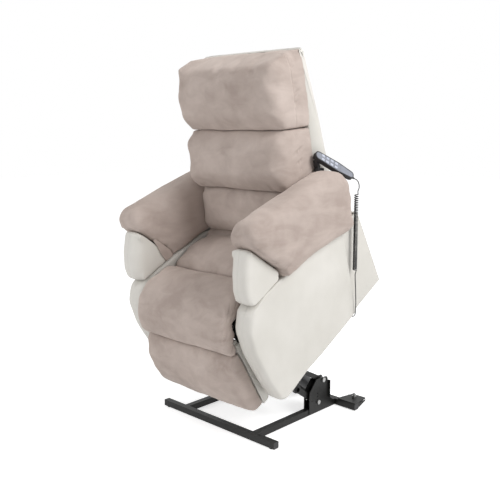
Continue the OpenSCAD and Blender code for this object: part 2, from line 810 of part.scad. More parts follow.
leg_outline = rounded([
  each [for (a = [247:-10.5:205]) leg_hinge + leg_r * dir(a)],
  [57, 346, 10], [55, 318, 10], [78, 288, 3], [48, 274, 12], [20, 215, 60], [11, 150, 60], [16, 76, 40],
  [44, 20, 20], [98, 18, 8]
]);
leg_outline_ccw = [for (i = [len(leg_outline) - 1:-1:0]) leg_outline[i]];

module legrest_pad() {
  color(suede) in_world() on_chair()
    skin(stuffed(is_ccw(leg_outline) ? leg_outline : leg_outline_ccw, -leg_pad_w / 2, leg_pad_w / 2,
      24, 24, 12, [-1, 0], [-1, 0], 0.12));
}

function is_ccw(o) = 0 < [for (i = [0:len(o) - 1]) let (p = o[i], q = o[(i + 1) % len(o)]) p[0] * q[1] - q[0] * p[1]]
  * [for (p = o) 1];

lumbar_outline = rounded([
  [564, 450, 16], [back_line(440) + 0.6, 440, 8], [back_line(598) + 0.6, 598, 8], [630, 634, 16],
  [594, 606, 30], [548, 490, 30]
]);
mid_outline = rounded([
  [606, 643, 26], [back_line(602) + 0.6, 602, 10], [back_line(796) + 0.6, 796, 12], [700, 861, 24],
  [636, 838, 40], [576, 700, 60]
]);
head_outline = rounded([
  [694, 866, 24], [back_line(800) + 0.6, 800, 10], [back_line(1080) + 0.6, 1080, 16], [876, 1108, 22],
  [748, 1112, 40], [690, 1010, 110], [671, 925, 60]
]);

module back_cushion(outline, w, r, crown) {
  in_world() on_chair() skin(stuffed(outline, -w, w, r, r, crown, [-0.95, 0.3], [-0.95, 0.3], 0.15));
}

module lumbar_cushion() {
  color(suede) back_cushion(lumbar_outline, panel_in - 6, 26, 6);
}

module mid_cushion() {
  color(suede) back_cushion(mid_outline, panel_in - 6, 30, 10);
}

module head_cushion() {
  color(suede) back_cushion(head_outline, panel_in - 1, 30, 10);
}

// ---------------------------------------------------------------- backrest

back_top = back_hinge[1] + back_h;
back_rail_x = back_out - 28;
frame_top = back_top - shell_wall - seat_gap;

// Depth of the back frame at height z, tapered where the shell closes on it
function frame_depth(z) = z > 900 ? 28 - (z - 900) * 0.11 : 28;

// Outline of the back frame between heights a and b, d0 to d1 behind the cushions
function frame_strip(a, b, d0, d1) = [
  [back_line(a) + d0, a], [back_line(a) + d1, a], [back_line(b) + d1, b], [back_line(b) + d0, b]
];

module back_uprights() {
  color(wood) in_world() on_chair() both(back_rail_x, back_out) polygon([
    [back_line(385) + 1, 385], [back_line(385) + 28, 385], [back_line(900) + frame_depth(900), 900],
    [back_line(frame_top) + frame_depth(frame_top), frame_top], [back_line(frame_top) + 1, frame_top]]);
}

module back_rails() {
  color(wood) in_world() on_chair() for (z = [385, 530, 690, 850, back_top - 66])
    slab(-back_rail_x, back_rail_x) polygon(frame_strip(z, z + 46, 1, min(24, frame_depth(z + 46) - 1)));
}

module back_hinge_plates() {
  color(steel) in_world() on_chair() {
    both(rail_out - 5, rail_out - seat_gap) difference() {
      polygon(rounded([off(back_hinge, [-18, -18, 17]), [back_line(385), 372, 10], [back_line(385) + 26, 372, 6],
        [back_line(560) + 24, 560, 6], [back_line(560) + 4, 560, 6], [back_line(440) + 2, 424, 8],
        off(back_hinge, [-18, 20, 16])]));
      disc(back_hinge, 6 + fit);
    }
    for (s = [-1, 1]) slab(back_x + s * 13 - plate_t / 2, back_x + s * 13 + plate_t / 2) difference() {
      polygon(rounded([off(back_pin, [-16, -14, 8]), off(back_pin, [16, -16, 6]), [back_line(386) + 0.7, 386],
        [back_line(425) + 0.7, 425], off(back_pin, [2, 40, 8]), off(back_pin, [-16, 18, 8])]));
      path_slot(back_path, pin_d + 1);
    }
  }
}

shell_outer = rounded([
  [838, 280], [848, 440], [862, 560], [880, 680], [903, 803], [942, back_top, 11],
  [back_line(back_top) + 4, back_top, 4], [back_line(440) + 1, 440], [722, 380], [724, 280]
]);
shell_inner = rounded([
  [838 - shell_wall, 270], [848 - shell_wall, 440], [862 - shell_wall, 560], [880 - shell_wall, 680],
  [903 - shell_wall, 803], [942 - shell_wall, back_top - shell_wall], [back_line(back_top) - 20, back_top - shell_wall],
  [back_line(440) - 20, 440], [700, 380], [700, 270]
]);

module back_shell() {
  color(cream) in_world() on_chair() difference() {
    slab(-shell_w / 2, shell_w / 2) polygon(shell_outer);
    slab(-shell_w / 2 + shell_wall, shell_w / 2 - shell_wall) polygon(shell_inner);
  }
}

// ---------------------------------------------------------------- legrest

board_y = 100;
board_top = leg_hinge[1] - leg_r - 1.5;

module legrest_board() {
  color(wood) in_world() on_chair() {
    translate([-board_w / 2, board_y, 34]) cube([board_w, board_t, board_top - 34]);
  }
}

module legrest_cover() {
  z0 = 18;
  depth = 36;
  color(cream) in_world() on_chair() difference() {
    slab(-board_w / 2 - 9, board_w / 2 + 9)
      polygon(rounded([[board_y, z0], [board_y + depth, z0, 16], [board_y + depth, 215, 10], [board_y + 22, 250, 10],
        [board_y + 22, board_top - 12, 8], [board_y, board_top - 12]]));
    slab(-board_w / 2 - 0.3, board_w / 2 + 0.3)
      polygon([[board_y - 1, z0 + 12], [board_y + board_t + 0.3, z0 + 12],
        [board_y + board_t + 0.3, board_top], [board_y - 1, board_top]]);
    for (x = [-board_w / 2 - 0.3, board_w / 2 - 6])
      translate([x, board_y, 180]) cube([6.3, 40, 200]);
    translate([leg_x - 22, board_y, 236]) cube([44, 60, 200]);
  }
}

module legrest_arms() {
  color(steel) in_world() on_chair() {
    both(rail_out - 5, rail_out - seat_gap) difference() {
      polygon(rounded([off(leg_hinge, [-13, 13, 12]), leg_hinge + [-13, -40], [board_y + board_t + 0.3, board_top + 3],
        [board_y + board_t + 0.3, 196], [board_y + board_t + 8, 196], [board_y + board_t + 10, board_top - 4],
        leg_hinge + [13, -40], off(leg_hinge, [13, 13, 12])]));
      disc(leg_hinge, 4 + fit);
    }
    for (s = [-1, 1]) slab(leg_x + s * 13 - plate_t / 2, leg_x + s * 13 + plate_t / 2) difference() {
      polygon(rounded([[board_y + board_t, 240], off(leg_pin, [18, -16, 8]), off(leg_pin, [18, 14, 8]),
        off(leg_pin, [-8, 16, 4]), [board_y + board_t, board_top - 4]]));
      path_slot(leg_path, pin_d + 1);
    }
  }
}

// ---------------------------------------------------------------- handset and cord

// Handset frame in the chair: origin at its far end, local x towards the cord, local z out of the keys
hs_x = unit([76, 80, -151]);
hs_y = unit(cross([0.81, 0.17, 0.56], hs_x));
hs_z = cross(hs_x, hs_y);
hs_far = [shell_w / 2 + 24, 785, 705] + handset_t / 2 * hs_z;

module on_handset() {
  multmatrix([
    [hs_x[0], hs_y[0], hs_z[0], hs_far[0]],
    [hs_x[1], hs_y[1], hs_z[1], hs_far[1]],
    [hs_x[2], hs_y[2], hs_z[2], hs_far[2]],
    [0, 0, 0, 1]]) children();
}

function handset_outline(m) = rounded([
  [m, m + 4 - handset_w / 2, 18 - m], [handset_l * 0.6, m - handset_w / 2, 60 - m],
  [handset_l - m, m - handset_w * 0.34, 12 - m], [handset_l - m, handset_w * 0.34 - m, 12 - m],
  [handset_l * 0.6, handset_w / 2 - m, 60 - m], [m, handset_w / 2 - m - 4, 18 - m]
]);

key_at = [for (i = [0:7]) [36 + floor(i / 2) * 21, (i % 2 == 0 ? -1 : 1) * handset_w * 0.2, 0]];
key_size = [13, 11];
well_d = 4;
face_t = well_d + 1.2;

// Outline of key i, grown by g
module key_shape(i, g) {
  translate(key_at[i]) square([key_size[0] + g, key_size[1] + g], center = true);
}

module handset_shell() {
  color(plastic) in_world() on_chair() {
    on_handset() difference() {
      union() {
        translate([0, 0, -handset_t]) linear_extrude(5) polygon(handset_outline(3));
        translate([0, 0, 5 - handset_t]) linear_extrude(handset_t - 5) polygon(handset_outline(0));
      }
      translate([0, 0, -face_t]) linear_extrude(10) polygon(handset_outline(4));
    }
    slab(shell_w / 2 + 15, shell_w / 2 + 33) polygon([[776, 684], [790, 680], [784, 646], [802, 634],
      [798, 626], [764, 640], [762, 648], [772, 652]]);
  }
}

module handset_face() {
  color([0.62, 0.63, 0.66]) in_world() on_chair() on_handset() difference() {
    translate([0, 0, -face_t + 0.1]) linear_extrude(face_t - 0.1) polygon(handset_outline(4.4));
    for (i = [0:7]) translate([0, 0, -well_d]) linear_extrude(10) key_shape(i, 0.6);
    translate([key_at[7][0] + 20, -30, -0.8]) cube([1.6, 60, 3]);
  }
}

// Key i, proud of the face by its travel
module key(i) {
  color([0.74, 0.75, 0.78]) in_world() on_chair() on_handset()
    translate([0, 0, -well_d + button_travel + 0.2]) linear_extrude(well_d) key_shape(i, 0);
}

// Route of the cord, world x, y, z, with the front face of the front tube at y = 0
cord_exit = hs_far + handset_l * hs_x - handset_t / 2 * hs_z;
function to_world(p) = [p[0], raised([p[1], p[2]])[0], raised([p[1], p[2]])[1]];
lead_top = [
  to_world(cord_exit), to_world(cord_exit + 5 * hs_x), to_world(cord_exit + 11 * hs_x),
  [361, 434, 999], [365, 440, 990], [367, 443, 978], [367, 443, 966], [364, 440, 955]
];
curl_top = [360, 436, 943];
curl_end = [362, 438, 638];
lead_low = [
  [362, 438, 620], [363, 438, 598], [364, 440, 570], [363, 444, 535], [361, 449, 500], [358, 454, 470],
  [354, 457, 450], [347, 458, 440], [339, 456.7, 437.4], [330, 456.4, 437.4], [320.3, 456.4, 437.4]
];

curl_r = (curl_d - cord_d) / 2;
// Height of curl i, the upper ones pulled open by the cord's own weight
function curl_drop(t) =
  let (u = t / curls, open = (1 - exp(-7 * u)) / (1 - exp(-7)))
  (curl_top[2] - curl_end[2]) * (0.885 * u + 0.115 * open);
curl_steps = 8;
curl_path = [
  for (i = [0:curls * curl_steps])
    let (a = i * 360 / curl_steps, t = i / curl_steps)
    curl_top + [curl_r * cos(a), curl_r * sin(a), -curl_drop(t)]
      + (curl_end[1] - curl_top[1]) * t / curls * [0, 1, 0]
];
cord_path = [each lead_top, each curl_path, each lead_low];

function tangent(path, i) = unit(path[min(i + 1, len(path) - 1)] - path[max(i - 1, 0)]);
// A side direction that turns as little as it can along the path
function frames(path, i = 0, prev = [0, 1, 0]) =
  i == len(path) ? [] :
  let (t = tangent(path, i), s = unit(prev - t * (prev * t)))
  concat([[t, s]], frames(path, i + 1, s));

function near(path, skip) = min([
  for (i = [0:8:len(path) - 1], j = [i + skip:1:min(i + skip + 24, len(path) - 1)]) norm(path[i] - path[j])
]);

module cord() {
  sides = 6;
  fr = frames(cord_path);
  n = len(cord_path);
  points = [
    for (i = [0:n - 1])
      let (u = fr[i][1], v = cross(fr[i][0], u))
      each [for (k = [0:sides - 1]) cord_path[i] + cord_d / 2 * (u * cos(k * 360 / sides) + v * sin(k * 360 / sides))],
    cord_path[0], cord_path[n - 1]
  ];
  faces = [
    for (i = [0:n - 2], k = [0:sides - 1])
      let (l = (k + 1) % sides, a = i * sides + k, b = i * sides + l, c = a + sides, d = b + sides)
      each [[a, d, b], [a, c, d]],
    for (k = [0:sides - 1]) [n * sides, k, (k + 1) % sides],
    for (k = [0:sides - 1]) [n * sides + 1, (n - 1) * sides + (k + 1) % sides, (n - 1) * sides + k]
  ];
  echo(cord_length = [for (i = [0:n - 2]) norm(cord_path[i + 1] - cord_path[i])] * [for (i = [0:n - 2]) 1]);
  echo(least_gap = near(cord_path, 6) - cord_d);
  color(plastic) in_world() polyhedron(points, faces);
}

grip = [from_raised([456.4, 437.4])[0], from_raised([456.4, 437.4])[1]];

module cord_grips() {
  bore = cord_d / 2 + 0.15;
  color(plastic) in_world() on_chair() {
    on_handset() translate([handset_l, 0, -handset_t / 2]) rotate([0, 90, 0]) difference() {
      cylinder(r1 = 5.4, r2 = 3.2, h = 10, $fn = 48);
      translate([0, 0, -1]) cylinder(r = bore, h = 12, $fn = 48);
    }
    slab(300, 320) polygon([[grip[0] - 9, grip[1] - 6], [grip[0] + 9, grip[1] - 6],
      [grip[0] + 9, ground_gap], [grip[0] - 9, ground_gap]]);
  }
}

front_tube();
rear_tube();
side_rails();
end_caps();
towers();
tower_bolts();
tower_spacers();
foot_plates();
levelling_feet();
lift_bracket();
lower_links();
torque_tube();
upper_links();
lift_actuator();
lift_rod();
back_actuator();
back_rod();
leg_actuator();
leg_rod();
link_plates();
chassis_bolts();
front_cross_tube();
rear_cross_tube();
seat_side_rails();
seat_cross_rails();
hinge_ears();
seat_webbing();
control_box();
side_panel_left();
side_panel_right();
arm_front_left();
arm_front_right();
arm_pad_left();
arm_pad_right();
seat_cushion();
knee_pad();
rear_skirt();
back_uprights();
back_rails();
back_hinge_plates();
back_shell();
lumbar_cushion();
mid_cushion();
head_cushion();
legrest_board();
legrest_cover();
legrest_arms();
legrest_pad();
handset_shell();
handset_face();
cord_grips();
cord();
for (i = [0:7]) key(i);
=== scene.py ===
"""Looks of a lift recliner chair: cushions, upholstery, curly cord, finishes, camera and light."""

import json
import math

import bmesh
import bpy
import numpy as np
from mathutils import Matrix, Vector


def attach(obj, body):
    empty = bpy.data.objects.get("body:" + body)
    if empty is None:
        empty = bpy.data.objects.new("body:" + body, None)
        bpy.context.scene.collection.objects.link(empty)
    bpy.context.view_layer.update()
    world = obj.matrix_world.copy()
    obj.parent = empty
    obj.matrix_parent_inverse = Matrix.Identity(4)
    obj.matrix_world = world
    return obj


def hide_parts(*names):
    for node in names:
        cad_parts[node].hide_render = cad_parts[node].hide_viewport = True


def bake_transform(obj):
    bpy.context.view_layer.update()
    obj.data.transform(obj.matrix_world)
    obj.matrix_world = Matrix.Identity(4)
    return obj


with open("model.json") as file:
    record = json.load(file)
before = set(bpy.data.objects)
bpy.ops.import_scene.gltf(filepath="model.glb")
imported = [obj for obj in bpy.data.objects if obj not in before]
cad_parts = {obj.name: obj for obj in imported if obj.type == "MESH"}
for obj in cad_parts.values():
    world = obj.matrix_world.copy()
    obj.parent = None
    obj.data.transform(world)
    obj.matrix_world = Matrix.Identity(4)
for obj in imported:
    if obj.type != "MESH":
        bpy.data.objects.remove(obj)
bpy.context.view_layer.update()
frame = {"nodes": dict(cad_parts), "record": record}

# ---------------------------------------------------------------- frames
# Chair frame: millimetres, +X the sitter's left, the sitter faces -Y, z = 0 on the floor when lowered.
# Row frame: metres, the whole chair as it stands, raised and tipped forward.

MM = 0.001
TILT = math.radians(30)
RAISED_AT = np.array([-55.8, 96.6])
ORIGIN_Y = 227.336
TURN = np.array([[math.cos(TILT), -math.sin(TILT)], [math.sin(TILT), math.cos(TILT)]])


def to_row(points):
    """Chair-frame millimetres to row-frame metres."""
    p = np.array(points, float).reshape(-1, 3)
    yz = p[:, 1:] @ TURN.T + RAISED_AT
    return np.column_stack([p[:, 0], yz[:, 0] - ORIGIN_Y, yz[:, 1]]) * MM


def to_chair(points):
    """Row-frame metres to chair-frame millimetres."""
    p = np.array(points, float).reshape(-1, 3) / MM
    yz = (np.column_stack([p[:, 1] + ORIGIN_Y, p[:, 2]]) - RAISED_AT) @ TURN
    return np.column_stack([p[:, 0], yz])


def chair_point(x, y, z):
    return Vector(to_row([[x, y, z]])[0])


# ---------------------------------------------------------------- camera

CAMERA_AT = (1.9973, -2.1146, 1.2)
CAMERA_AZIMUTH = math.radians(43.67)
CAMERA_PITCH = math.radians(9.71)
FOCAL_PER_WIDTH = 713.4 / 500


def make_camera():
    data = bpy.data.cameras.new("camera")
    data.sensor_width = 36
    data.lens = FOCAL_PER_WIDTH * data.sensor_width
    camera = bpy.data.objects.new("camera", data)
    bpy.context.scene.collection.objects.link(camera)
    camera.location = CAMERA_AT
    camera.rotation_euler = (math.pi / 2 - CAMERA_PITCH, 0, CAMERA_AZIMUTH)
    bpy.context.scene.camera = camera


make_camera()

# ---------------------------------------------------------------- materials


class Shader:
    """A Principled material and short calls for the nodes that feed it."""

    def __init__(self, name, **values):
        self.material = bpy.data.materials.new(name)
        self.material.use_nodes = True
        self.tree = self.material.node_tree
        self.surface = self.tree.nodes["Principled BSDF"]
        for socket, value in values.items():
            self.surface.inputs[socket.replace("_", " ")].default_value = value
        self.place = self.tree.nodes.new("ShaderNodeTexCoord").outputs["Object"]

    def node(self, kind, inputs=None, **settings):
        made = self.tree.nodes.new("ShaderNode" + kind)
        for key, value in settings.items():
            setattr(made, key, value)
        for key, value in (inputs or {}).items():
            if isinstance(value, bpy.types.NodeSocket):
                self.tree.links.new(value, made.inputs[key])
            else:
                made.inputs[key].default_value = value
        return made

    def stretched(self, scale=(1, 1, 1), turn=(0, 0, 0)):
        """The object's own coordinates, stretched and turned."""
        return self.node("Mapping", {"Vector": self.place, "Scale": scale, "Rotation": turn}).outputs[0]

    def noise(self, scale, detail=4, rough=0.55, place=None, distortion=0):
        inputs = {"Vector": place or self.place, "Scale": scale, "Detail": detail, "Roughness": rough}
        inputs["Distortion"] = distortion
        return self.node("TexNoise", inputs).outputs["Fac"]

    def cells(self, scale):
        inputs = {"Vector": self.place, "Scale": scale}
        return self.node("TexVoronoi", inputs, feature="F1").outputs["Distance"]

    def ramp(self, value, stops):
        """A colour or grey ramp; stops are (place, colour or grey)."""
        made = self.node("ValToRGB", {"Fac": value})
        points = made.color_ramp.elements
        while len(points) < len(stops):
            points.new(0.5)
        for point, (at, shade) in zip(points, stops):
            point.position = at
            point.color = (*shade, 1) if isinstance(shade, tuple) else (shade, shade, shade, 1)
        return made.outputs[0]

    def mix(self, share, a, b, blend="MIX"):
        made = self.node("Mix", data_type="RGBA", blend_type=blend)
        for socket, value in ((made.inputs[0], share), (made.inputs[6], a), (made.inputs[7], b)):
            if isinstance(value, bpy.types.NodeSocket):
                self.tree.links.new(value, socket)
            else:
                socket.default_value = value if isinstance(value, float) else (*value, 1)
        return made.outputs[2]

    def math(self, operation, a, b):
        return self.node("Math", {0: a, 1: b}, operation=operation).outputs[0]

    def colour(self, value):
        self.tree.links.new(value, self.surface.inputs["Base Color"])

    def roughness(self, value, low, high):
        made = self.node("MapRange", {"Value": value, "To Min": low, "To Max": high})
        self.tree.links.new(made.outputs[0], self.surface.inputs["Roughness"])

    def bump(self, *layers):
        """Layers are (height, strength, distance in metres), the broadest first."""
        normal = None
        for height, strength, distance in layers:
            inputs = {"Height": height, "Strength": strength, "Distance": distance}
            if normal is not None:
                inputs["Normal"] = normal
            normal = self.node("Bump", inputs).outputs[0]
        self.tree.links.new(normal, self.surface.inputs["Normal"])


def rgb(r, g, b):
    """An sRGB colour, 0 to 255, as linear numbers."""
    return tuple(((c / 255 + 0.055) / 1.055) ** 2.4 if c > 10 else c / 255 / 12.92 for c in (r, g, b))


def suede(name, dark, light):
    """Brushed suede: cloudy nap marks, fine grain and a soft sheen."""
    s = Shader(name, Roughness=0.9, Specular_IOR_Level=0.2, Sheen_Weight=0.35, Sheen_Roughness=0.45)
    s.surface.inputs["Sheen Tint"].default_value = (*rgb(232, 222, 214), 1)
    clouds = s.noise(4.5, 4, 0.55, distortion=0.5)
    strokes = s.noise(14, 4, 0.55, s.stretched((1, 0.45, 1.6), (0.3, 0.2, 0.5)), 0.6)
    grain = s.noise(900, 3, 0.7)
    nap = s.math("ADD", s.math("MULTIPLY", clouds, 0.62), s.math("MULTIPLY", strokes, 0.38))
    base = s.ramp(nap, [(0.36, dark), (0.5, tuple((a + b) / 2 for a, b in zip(dark, light))), (0.66, light)])
    flecks = s.ramp(grain, [(0.3, 0.86), (0.7, 1.0)])
    s.colour(s.mix(1.0, base, flecks, "MULTIPLY"))
    s.bump((s.noise(70, 3, 0.5), 0.25, 0.002), (s.noise(420, 3, 0.6), 0.35, 0.0006))
    return s.material


def leather(name, dark, light):
    """Coated cream leather: fine pebbles, faint creases and slight clouding."""
    s = Shader(name, Roughness=0.46, Specular_IOR_Level=0.42)
    clouds = s.noise(4, 3, 0.5)
    pores = s.cells(620)
    creases = s.noise(46, 5, 0.62, s.stretched((1, 1.7, 0.7)), 0.8)
    base = s.ramp(clouds, [(0.35, dark), (0.65, light)])
    s.colour(s.mix(1.0, base, s.ramp(pores, [(0.0, 0.93), (0.35, 1.0)]), "MULTIPLY"))
    s.roughness(clouds, 0.42, 0.54)
    s.bump((creases, 0.12, 0.0012), (pores, 0.25, 0.0005))
    return s.material


def powder_coat(name, shade):
    """Satin black powder coat with fine orange peel and worn specks."""
    s = Shader(name, Specular_IOR_Level=0.3)
    peel = s.noise(520, 2, 0.5)
    wear = s.noise(38, 6, 0.7)
    s.colour(s.mix(s.ramp(wear, [(0.66, 0.0), (0.8, 0.35)]), shade, tuple(3 * c for c in shade)))
    s.roughness(wear, 0.34, 0.5)
    s.bump((peel, 0.3, 0.0004))
    return s.material


def bright_zinc(name):
    s = Shader(name, Metallic=1.0)
    streaks = s.noise(160, 4, 0.6, s.stretched((1, 1, 6)))
    s.colour(s.ramp(streaks, [(0.3, (0.3, 0.3, 0.3)), (0.7, (0.46, 0.46, 0.45))]))
    s.roughness(streaks, 0.22, 0.4)
    s.bump((streaks, 0.1, 0.0003))
    return s.material


def moulded(name, shade, grain=1500, rough=0.5):
    """Moulded plastic with a fine spark-eroded grain."""
    s = Shader(name, Specular_IOR_Level=0.45)
    clouds = s.noise(30, 3, 0.5)
    paler = tuple(min(1, 1.25 * c + 0.004) for c in shade)
    s.colour(s.mix(s.ramp(clouds, [(0.35, 0.0), (0.7, 0.4)]), shade, paler))
    s.roughness(clouds, rough - 0.06, rough + 0.08)
    s.bump((s.noise(grain, 2, 0.5), 0.3, 0.0002))
    return s.material


def pine(name):
    """Planed softwood with growth rings."""
    s = Shader(name, Roughness=0.6)
    grain_place = s.stretched((1, 0.12, 1))
    wave = {"Vector": grain_place, "Scale": 28, "Distortion": 5, "Detail": 3}
    rings = s.node("TexWave", wave).outputs["Fac"]
    fibres = s.noise(500, 3, 0.6, s.stretched((1, 0.05, 1)))
    base = s.ramp(rings, [(0.2, rgb(205, 174, 128)), (0.8, rgb(176, 136, 88))])
    s.colour(s.mix(1.0, base, s.ramp(fibres, [(0.3, 0.82), (0.7, 1.0)]), "MULTIPLY"))
    s.bump((rings, 0.15, 0.0005), (fibres, 0.2, 0.0003))
    return s.material


def woven_strap(name, shade):
    """Plain weave webbing."""
    s = Shader(name, Roughness=0.85)
    across = s.node("TexWave", {"Vector": s.place, "Scale": 150}, bands_direction="X").outputs["Fac"]
    along = s.node("TexWave", {"Vector": s.place, "Scale": 150}, bands_direction="Y").outputs["Fac"]
    weave = s.math("MULTIPLY", across, along)
    s.colour(s.mix(weave, shade, tuple(2.2 * c for c in shade)))
    s.bump((weave, 0.6, 0.0008))
    return s.material


SUEDE = suede("suede", rgb(170, 155, 147), rgb(199, 185, 177))
CREAM = leather("cream_leather", rgb(204, 201, 194), rgb(214, 211, 205))
PAINT = powder_coat("base_paint", rgb(21, 21, 20))
ZINC = bright_zinc("zinc")
BLACK = moulded("black_plastic", rgb(38, 38, 40))
GREY = moulded("grey_plastic", rgb(128, 131, 140), 1200, 0.42)
KEYS = moulded("key_plastic", rgb(176, 180, 192), 1400, 0.4)
JACKET = moulded("cord_jacket", rgb(34, 34, 36), 1800, 0.38)
CLOTH = woven_strap("black_cloth", rgb(20, 20, 21))

FINISHES = {
    "base_paint": PAINT, "zinc": ZINC, "black_plastic": BLACK, "timber": pine("timber"),
    "webbing": woven_strap("webbing", rgb(52, 52, 54)), "cream_leather": CREAM, "suede": SUEDE,
    "grey_plastic": GREY, "key_plastic": KEYS, "cord_jacket": JACKET,
}

# Timber that is wrapped in cloth or cover where it can be seen past the pads
WRAPPED = {"seat_side_rails": CLOTH, "legrest_board": CREAM}


def finish_cad_nodes():
    """Gives each CAD node the material of its slot in the record."""
    slots = {part["node"]: part["material_slot"] for part in frame["record"]["subparts"]}
    for name, obj in frame["nodes"].items():
        obj.data.materials.clear()
        obj.data.materials.append(WRAPPED.get(name, FINISHES[slots[name]]))


# ---------------------------------------------------------------- curly cord
# The route repeats the one in the part's source, in row-frame metres from the front tube's face.

HANDSET_L, HANDSET_T = 186, 20
HANDSET_X = np.array([76, 80, -151]) / math.hypot(76, 80, 151)
HANDSET_Y = np.cross([0.81, 0.17, 0.56], HANDSET_X)
HANDSET_Y /= np.linalg.norm(HANDSET_Y)
HANDSET_Z = np.cross(HANDSET_X, HANDSET_Y)
HANDSET_FAR = np.array([276, 785, 705]) + HANDSET_T / 2 * HANDSET_Z
CORD_D = 3.8
CURL_R = (18.5 - CORD_D) / 2
CURLS = 58
CURL_TOP = np.array([360, 436, 943])
CURL_END = np.array([362, 438, 638])
STEPS = 14


def base_frame(p):
    """Millimetres from the front tube's face to row-frame metres."""
    return (np.array(p, float) - [0, ORIGIN_Y, 0]) * MM


def curl_drop(t):
    """Depth of curl t below the first; the cord's weight pulls the upper ones open."""
    u = t / CURLS
    opened = (1 - math.exp(-7 * u)) / (1 - math.exp(-7))
    return (CURL_TOP[2] - CURL_END[2]) * (0.885 * u + 0.115 * opened)


def cord_route():
    leave = HANDSET_FAR + HANDSET_L * HANDSET_X - HANDSET_T / 2 * HANDSET_Z
    top = [[361, 434, 999], [365, 440, 990], [367, 443, 978], [367, 443, 966], [364, 440, 955]]
    low = [
        [362, 438, 620], [363, 438, 598], [364, 440, 570], [363, 444, 535], [361, 449, 500], [358, 454, 470],
        [354, 457, 450], [347, 458, 440], [339, 456.7, 437.4], [330, 456.4, 437.4], [320.3, 456.4, 437.4],
    ]
    curls = []
    for i in range(CURLS * STEPS + 1):
        a = 2 * math.pi * i / STEPS
        t = i / STEPS
        lean_back = (CURL_END[1] - CURL_TOP[1]) * t / CURLS
        curls.append(CURL_TOP + [CURL_R * math.cos(a), CURL_R * math.sin(a) + lean_back, -curl_drop(t)])
    start = to_row([leave, leave + 5 * HANDSET_X, leave + 11 * HANDSET_X])
    return np.vstack([start, base_frame(top), base_frame(curls), base_frame(low)])


def make_cord():
    route = cord_route()
    data = bpy.data.curves.new("handset_cord", "CURVE")
    data.dimensions = "3D"
    data.bevel_depth = CORD_D / 2 * MM
    data.bevel_resolution = 3
    data.use_fill_caps = True
    line = data.splines.new("POLY")
    line.points.add(len(route) - 1)
    for point, place in zip(line.points, route):
        point.co = (*place, 1)
    line.use_smooth = True
    data.materials.append(JACKET)
    cord = bpy.data.objects.new("handset_cord", data)
    bpy.context.scene.collection.objects.link(cord)
    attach(cord, "chassis")
    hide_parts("cord")


make_cord()

# ---------------------------------------------------------------- mesh helpers


def unit(v):
    return v / np.linalg.norm(v)


def add_object(name, mesh, material):
    mesh.materials.append(material)
    mesh.polygons.foreach_set("use_smooth", [True] * len(mesh.polygons))
    obj = bpy.data.objects.new(name, mesh)
    bpy.context.scene.collection.objects.link(obj)
    return obj


def coords(obj):
    co = np.zeros(len(obj.data.vertices) * 3)
    obj.data.vertices.foreach_get("co", co)
    return co.reshape(-1, 3)


def set_coords(obj, co):
    obj.data.vertices.foreach_set("co", co.ravel())
    obj.data.update()


def normals(obj):
    n = np.zeros(len(obj.data.vertices) * 3)
    obj.data.vertex_normals.foreach_get("vector", n)
    return n.reshape(-1, 3)


def bake(obj):
    """Applies the modifiers to the mesh."""
    graph = bpy.context.evaluated_depsgraph_get()
    done = bpy.data.meshes.new_from_object(obj.evaluated_get(graph), depsgraph=graph)
    old = obj.data
    obj.modifiers.clear()
    obj.data = done
    bpy.data.meshes.remove(old)
    done.polygons.foreach_set("use_smooth", [True] * len(done.polygons))


def rounded(points, step=11):
    """A closed outline whose corners are rounded by their third number, as an array of points."""
    out = []
    count = len(points)
    for i, b in enumerate(points):
        at = np.array(b[:2], float)
        if len(b) < 3:
            out.append(at)
            continue
        p = unit(np.array(points[i - 1][:2]) - at)
        q = unit(np.array(points[(i + 1) % count][:2]) - at)
        half = math.acos(np.clip(p @ q, -1, 1)) / 2
        centre = at + unit(p + q) * b[2] / math.sin(half)
        a0 = at + p * b[2] / math.tan(half) - centre
        a1 = at + q * b[2] / math.tan(half) - centre
        start = math.atan2(a0[1], a0[0])
        sweep = (math.atan2(a1[1], a1[0]) - start + math.pi) % (2 * math.pi) - math.pi
        n = max(2, math.ceil(abs(math.degrees(sweep)) / step))
        for k in range(n + 1):
            a = start + sweep * k / n
            out.append(centre + b[2] * np.array([math.cos(a), math.sin(a)]))
    return np.array(out)


def spaced(outline, gap=9):
    """The same closed outline with no edge longer than gap, counter-clockwise."""
    x, y = outline[:, 0], outline[:, 1]
    if (x * np.roll(y, -1) - np.roll(x, -1) * y).sum() < 0:
        outline = outline[::-1]
    out = []
    for p, q in zip(outline, np.roll(outline, -1, axis=0)):
        n = max(1, math.ceil(np.linalg.norm(q - p) / gap))
        out += [p + (q - p) * k / n for k in range(n)]
    return np.array(out)


def outline_normals(outline):
    t = np.roll(outline, -1, axis=0) - np.roll(outline, 1, axis=0)
    t /= np.linalg.norm(t, axis=1)[:, None] + 1e-12
    return np.column_stack([t[:, 1], -t[:, 0]])


RING_GAP = 14


